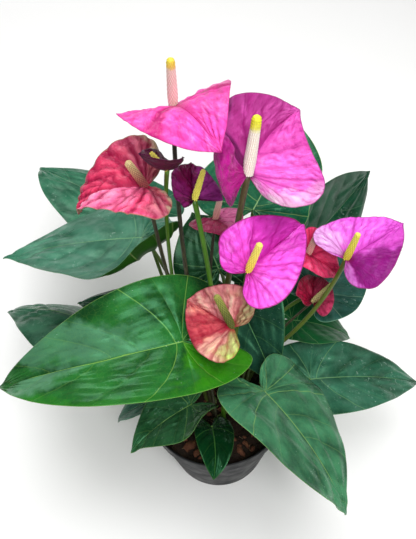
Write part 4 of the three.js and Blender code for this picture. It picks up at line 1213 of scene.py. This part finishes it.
class ANTHURIUM_OT_mix(Operator):
    """Fills the pot with peat, and strews bark chips and pale fibres over it"""

    bl_idname = "anthurium.mix"
    bl_label = "Potting mix"

    def execute(self, context):
        s = context.scene.anthurium_mix
        pot = context.scene.anthurium_pot
        lip, step, wall, base = (v / MM for v in (pot.lip, pot.step, pot.wall, pot.base))
        foot = (pot.height - pot.band) / MM
        edge = lip - step - BAND_SPREAD - wall - FIT
        top = s.top / MM
        rings = [(edge * (1 - k / MIX_RINGS), top) for k in range(1, MIX_RINGS + 1)]
        side = [(0, FLOOR + FIT), (base - wall - FIT, FLOOR + FIT), (edge, foot), (edge + 0.2, top - 2)]
        bed = lathe(side + rings, MIX_SIDES)
        high = bed.points[:, 2] > top - 1
        bed.points[high, 2] += self.height_at(bed.points[high, 0], bed.points[high, 1], s.crumb / MM)
        peat = self.finish("peat", s.peat, PEAT_LIGHT, 0.93)
        bark = self.finish("bark", s.bark, BARK_LIGHT, 0.85)
        fibre = self.finish("fibre", s.fibre, FIBRE_LIGHT, 0.8)
        for name, shape, finish in (
            ("mix_bed", bed, peat),
            ("bark_chips", self.chips(s, top, edge), bark),
            ("fibres", self.fibres(s, top, edge), fibre),
        ):
            add_piece(name, shape, [finish], ("potting_mix",))
        return {"FINISHED"}

    def height_at(self, x, y, crumb):
        """Rough ground: the waves of the solid, then four octaves of |sine products| as crumbs."""
        total = crumb * (np.sin(x / 4.7 + 1) * np.cos(y / 5.3) + 0.6 * np.sin((x - 2 * y) / 7.1))
        draw = np.random.default_rng(GROUND_SEED)
        size, height = 6.5, 1.5
        for _ in range(4):
            a, b, c = draw.uniform(0, 2 * math.pi, 3)
            u = (x * math.cos(a) + y * math.sin(a)) / size
            v = (y * math.cos(a) - x * math.sin(a)) / size
            crumbs = np.sin(u * 2 + b + 0.7 * np.sin(v * 1.7)) * np.sin(v * 2 + c)
            total = total + height * (np.abs(crumbs) - 0.4)
            size, height = size * 0.55, height * 0.62
        return total - 0.6

    def finish(self, name, colour, light, rough):
        """Crumbly ground: a base colour with lighter grains, and a coarse relief."""
        f = Finish(name, Roughness=rough, Specular_IOR_Level=0.2)
        grain = f.blend(f.noise(0.0016, 4, 0.7), 0.6, f.noise(0.008, 3), 0.4)
        f.set("Base Color", f.mix((*colour, 1.0), light, f.step(grain, 0.45, 0.75, 0.0, 0.8)))
        f.bump(grain, 0.0012, 0.8)
        return f.material

    def chips(self, s, top, edge):
        """Bark: flat irregular blocks, each a squashed drum of 7 x 6 points with seeded corners."""
        draw = np.random.default_rng(CHIP_SEED)
        blocks = []
        for k in range(s.chips):
            angle = draw.uniform(0, 2 * math.pi)
            far = edge * 0.93 * math.sqrt(draw.uniform(0.02, 1))
            x, y = far * math.cos(angle), far * math.sin(angle)
            size = draw.uniform(*CHIP_SIZE)
            if k < len(BIG_CHIPS):
                x, y, size = BIG_CHIPS[k]
            block = lathe(CHIP_PROFILE, CHIP_SIDES)
            corners = block.points * draw.uniform(0.5, 1.25, block.points.shape)
            poles = np.hypot(block.points[:, 0], block.points[:, 1]) < TINY
            corners[poles] = block.points[poles]
            corners = corners * size * np.array([1, draw.uniform(0.45, 0.8), draw.uniform(0.25, 0.5)])
            spin = Matrix.Rotation(draw.uniform(0, 6.28), 3, "Z")
            spin = spin @ Matrix.Rotation(draw.uniform(-0.6, 0.6), 3, "X")
            ground = self.height_at(np.array([x]), np.array([y]), s.crumb / MM)[0] + top
            block.points = corners @ np.array(spin).T + np.array([x, y, ground + size * 0.1])
            blocks.append(block)
        return joined(blocks)

    def fibres(self, s, top, edge):
        """Thin pale threads that lie on the mix in short arcs."""
        draw = np.random.default_rng(FIBRE_SEED)
        threads = []
        radius = np.full(FIBRE_STEPS, FIBRE_RADIUS)
        for _ in range(s.fibres):
            angle = draw.uniform(0, 2 * math.pi)
            far = edge * 0.85 * math.sqrt(draw.uniform(0, 1))
            start, bend = draw.uniform(0, 6.28), draw.uniform(-1.6, 1.6)
            run = draw.uniform(*FIBRE_LENGTH) / FIBRE_STEPS
            way = start + bend * np.linspace(0, 1, FIBRE_STEPS)
            x = far * math.cos(angle) + np.cumsum(np.cos(way)) * run
            y = far * math.sin(angle) + np.cumsum(np.sin(way)) * run
            if (np.hypot(x, y) < edge * 0.95).all():
                z = top + self.height_at(x, y, s.crumb / MM) + FIBRE_LIFT
                threads.append(tube(np.stack([x, y, z], 1), radius, FIBRE_SIDES))
        return joined(threads)


class ANTHURIUM_OT_leaves(Operator):
    """Grows every leaf: a heart-shaped blade and its petiole in one piece"""

    bl_idname = "anthurium.leaves"
    bl_label = "Leaves"

    def execute(self, context):
        s = context.scene.anthurium_blades
        for seed, leaf in enumerate(LEAVES, LEAF_SEED):
            name = leaf["name"]
            kind = YOUNG_LEAF if name == "young_front" else LEAF
            size = min(1, leaf["length"] / FULL_LEAF)
            heights = (LEAF_RELIEF * size * FLATTER.get(name, 1), 0, 0)
            blade = blade_piece(leaf, kind, s, s.leaf_thick / MM, heights, seed, size)
            shape = joined([blade, self.petiole(leaf, s.petiole / MM)])
            materials = [
                leaf_face(name, LEAF_LOOKS[name]),
                leaf_back(name, LEAF_LOOKS[name]),
                stalk_finish("petiole_" + name, PETIOLE_LOW, PETIOLE_HIGH),
            ]
            add_piece("blade_" + name, shape, materials, ("leaf_" + name,))
        return {"FINISHED"}

    def petiole(self, leaf, radius):
        """Round, wider in its sheath at the foot, with a knee just under the blade."""
        t = np.linspace(0, 1, PETIOLE_STEPS)
        size = radius * (1 + 0.35 * (1 - smooth(0, 0.2, t)) + 0.18 * np.exp(-((t - 0.93) / 0.03) ** 2))
        size = size * (1 - 0.55 * smooth(0.975, 1.0, t))
        shape = tube(stem_path(leaf, PETIOLE_REACH, PETIOLE_STEPS), size, PETIOLE_SIDES)
        shape.material[:] = 2
        return shape


class ANTHURIUM_OT_stalks(Operator):
    """Grows the eleven flower stalks"""

    bl_idname = "anthurium.stalks"
    bl_label = "Flower stalks"

    def execute(self, context):
        t = np.linspace(0, 1, STALK_STEPS)
        for bloom in BLOOMS:
            name = bloom["name"]
            radius, low, high = STALK_LOOKS[name]
            size = radius * (1 + 0.25 * (1 - smooth(0, 0.15, t)) + 0.1 * smooth(0.9, 1, t))
            shape = tube(stem_path(bloom, STALK_REACH, STALK_STEPS), size, STALK_SIDES)
            finish = stalk_finish("stalk_" + name, low, high)
            add_piece("flower_stalk_" + name, shape, [finish], ("stalk_" + name,))
        return {"FINISHED"}


class ANTHURIUM_OT_spathes(Operator):
    """Shapes the eleven spathes"""

    bl_idname = "anthurium.spathes"
    bl_label = "Spathes"

    def execute(self, context):
        s = context.scene.anthurium_blades
        for seed, bloom in enumerate(BLOOMS, SPATHE_SEED):
            name = bloom["name"]
            look = SPATHE_LOOKS[name]
            heights = (look.high, look.crinkle, look.carve)
            shape = blade_piece(bloom, SPATHE, s, s.spathe_thick / MM, heights, seed)
            materials = [spathe_face(name, look), spathe_back(name, look)]
            add_piece("bract_" + name, shape, materials, ("spathe_" + name,))
        return {"FINISHED"}


class ANTHURIUM_OT_spadices(Operator):
    """Sets a spadix with its florets on each bloom"""

    bl_idname = "anthurium.spadices"
    bl_label = "Spadices"

    def execute(self, context):
        for bloom in BLOOMS:
            name = bloom["name"]
            finish = spadix_finish(name, SPADIX_LOOKS[name])
            add_piece("spike_" + name, spadix_shape(bloom), [finish], ("spadix_" + name,))
        return {"FINISHED"}


class ANTHURIUM_OT_stage(Operator):
    """Lays the floor and sets the soft lights and the camera"""

    bl_idname = "anthurium.stage"
    bl_label = "Floor, lights and camera"

    def execute(self, context):
        scene = context.scene
        f = Finish("floor_paper", Roughness=0.9, Specular_IOR_Level=0.1)
        f.set("Base Color", f.mix(PAPER_LOW, PAPER_HIGH, f.noise(0.4, 2)))
        mesh = add_piece("floor", drum(PAPER_RADIUS, PAPER_FOOT, PAPER_TOP, PAPER_SIDES), [f.material])
        world = bpy.data.worlds.new("soft_room")
        world.use_nodes = True
        background = world.node_tree.nodes["Background"]
        background.inputs["Color"].default_value = (1.0, 1.0, 1.0, 1.0)
        background.inputs["Strength"].default_value = WORLD_STRENGTH
        scene.world = world
        for name, place, size, power in LIGHTS:
            lamp = bpy.data.lights.new(name, "AREA")
            lamp.shape = "DISK"
            lamp.size = size
            lamp.energy = power
            holder = bpy.data.objects.new(name, lamp)
            holder.location = place
            aim = holder.location.copy() * -1
            aim.z += 0.2
            holder.rotation_euler = aim.to_track_quat("-Z", "Y").to_euler()
            scene.collection.objects.link(holder)
        scene.view_settings.view_transform = "Standard"
        self.camera(scene)
        return {"FINISHED"}

    def camera(self, scene):
        """The camera that was fitted to the photograph: it looks down, and leans a little."""
        pitch, roll = math.radians(CAMERA_PITCH), math.radians(CAMERA_ROLL)
        ahead = np.array([0, math.cos(pitch), -math.sin(pitch)])
        right = np.array([1.0, 0, 0])
        up = np.array([0, math.sin(pitch), math.cos(pitch)])
        right, up = turn(right, up, roll)
        data = bpy.data.cameras.new("camera")
        data.sensor_width = SENSOR
        data.lens = FOCAL_PIXELS / max(FRAME_WIDTH, FRAME_HEIGHT) * SENSOR
        data.clip_end = CLIP_END
        holder = bpy.data.objects.new("camera", data)
        matrix = np.eye(4)
        matrix[:3, 0], matrix[:3, 1], matrix[:3, 2] = right, up, -ahead
        matrix[:3, 3] = np.array(CAMERA_AT) * MM
        holder.matrix_world = Matrix(matrix.tolist())
        scene.collection.objects.link(holder)
        scene.camera = holder


STEPS = (
    ANTHURIUM_OT_pot,
    ANTHURIUM_OT_mix,
    ANTHURIUM_OT_leaves,
    ANTHURIUM_OT_stalks,
    ANTHURIUM_OT_spathes,
    ANTHURIUM_OT_spadices,
    ANTHURIUM_OT_stage,
)


class ANTHURIUM_PT_panel(Panel):
    bl_label = "Potted anthurium"
    bl_idname = "ANTHURIUM_PT_panel"
    bl_space_type = "VIEW_3D"
    bl_region_type = "UI"
    bl_category = "Anthurium"

    def draw(self, context):
        for key, group in SETTINGS.items():
            box = self.layout.box()
            for name in group.__annotations__:
                box.prop(getattr(context.scene, key), name)
        for step in STEPS:
            self.layout.operator(step.bl_idname)


CLASSES = (*SETTINGS.values(), *STEPS, ANTHURIUM_PT_panel)


def register():
    for each in CLASSES:
        bpy.utils.register_class(each)
    for key, group in SETTINGS.items():
        setattr(bpy.types.Scene, key, PointerProperty(type=group))


def unregister():
    for key in SETTINGS:
        delattr(bpy.types.Scene, key)
    for each in reversed(CLASSES):
        bpy.utils.unregister_class(each)


def main():
    register()
    for step in STEPS:
        group, name = step.bl_idname.split(".")
        getattr(getattr(bpy.ops, group), name)()


if __name__ == "__main__":
    main()
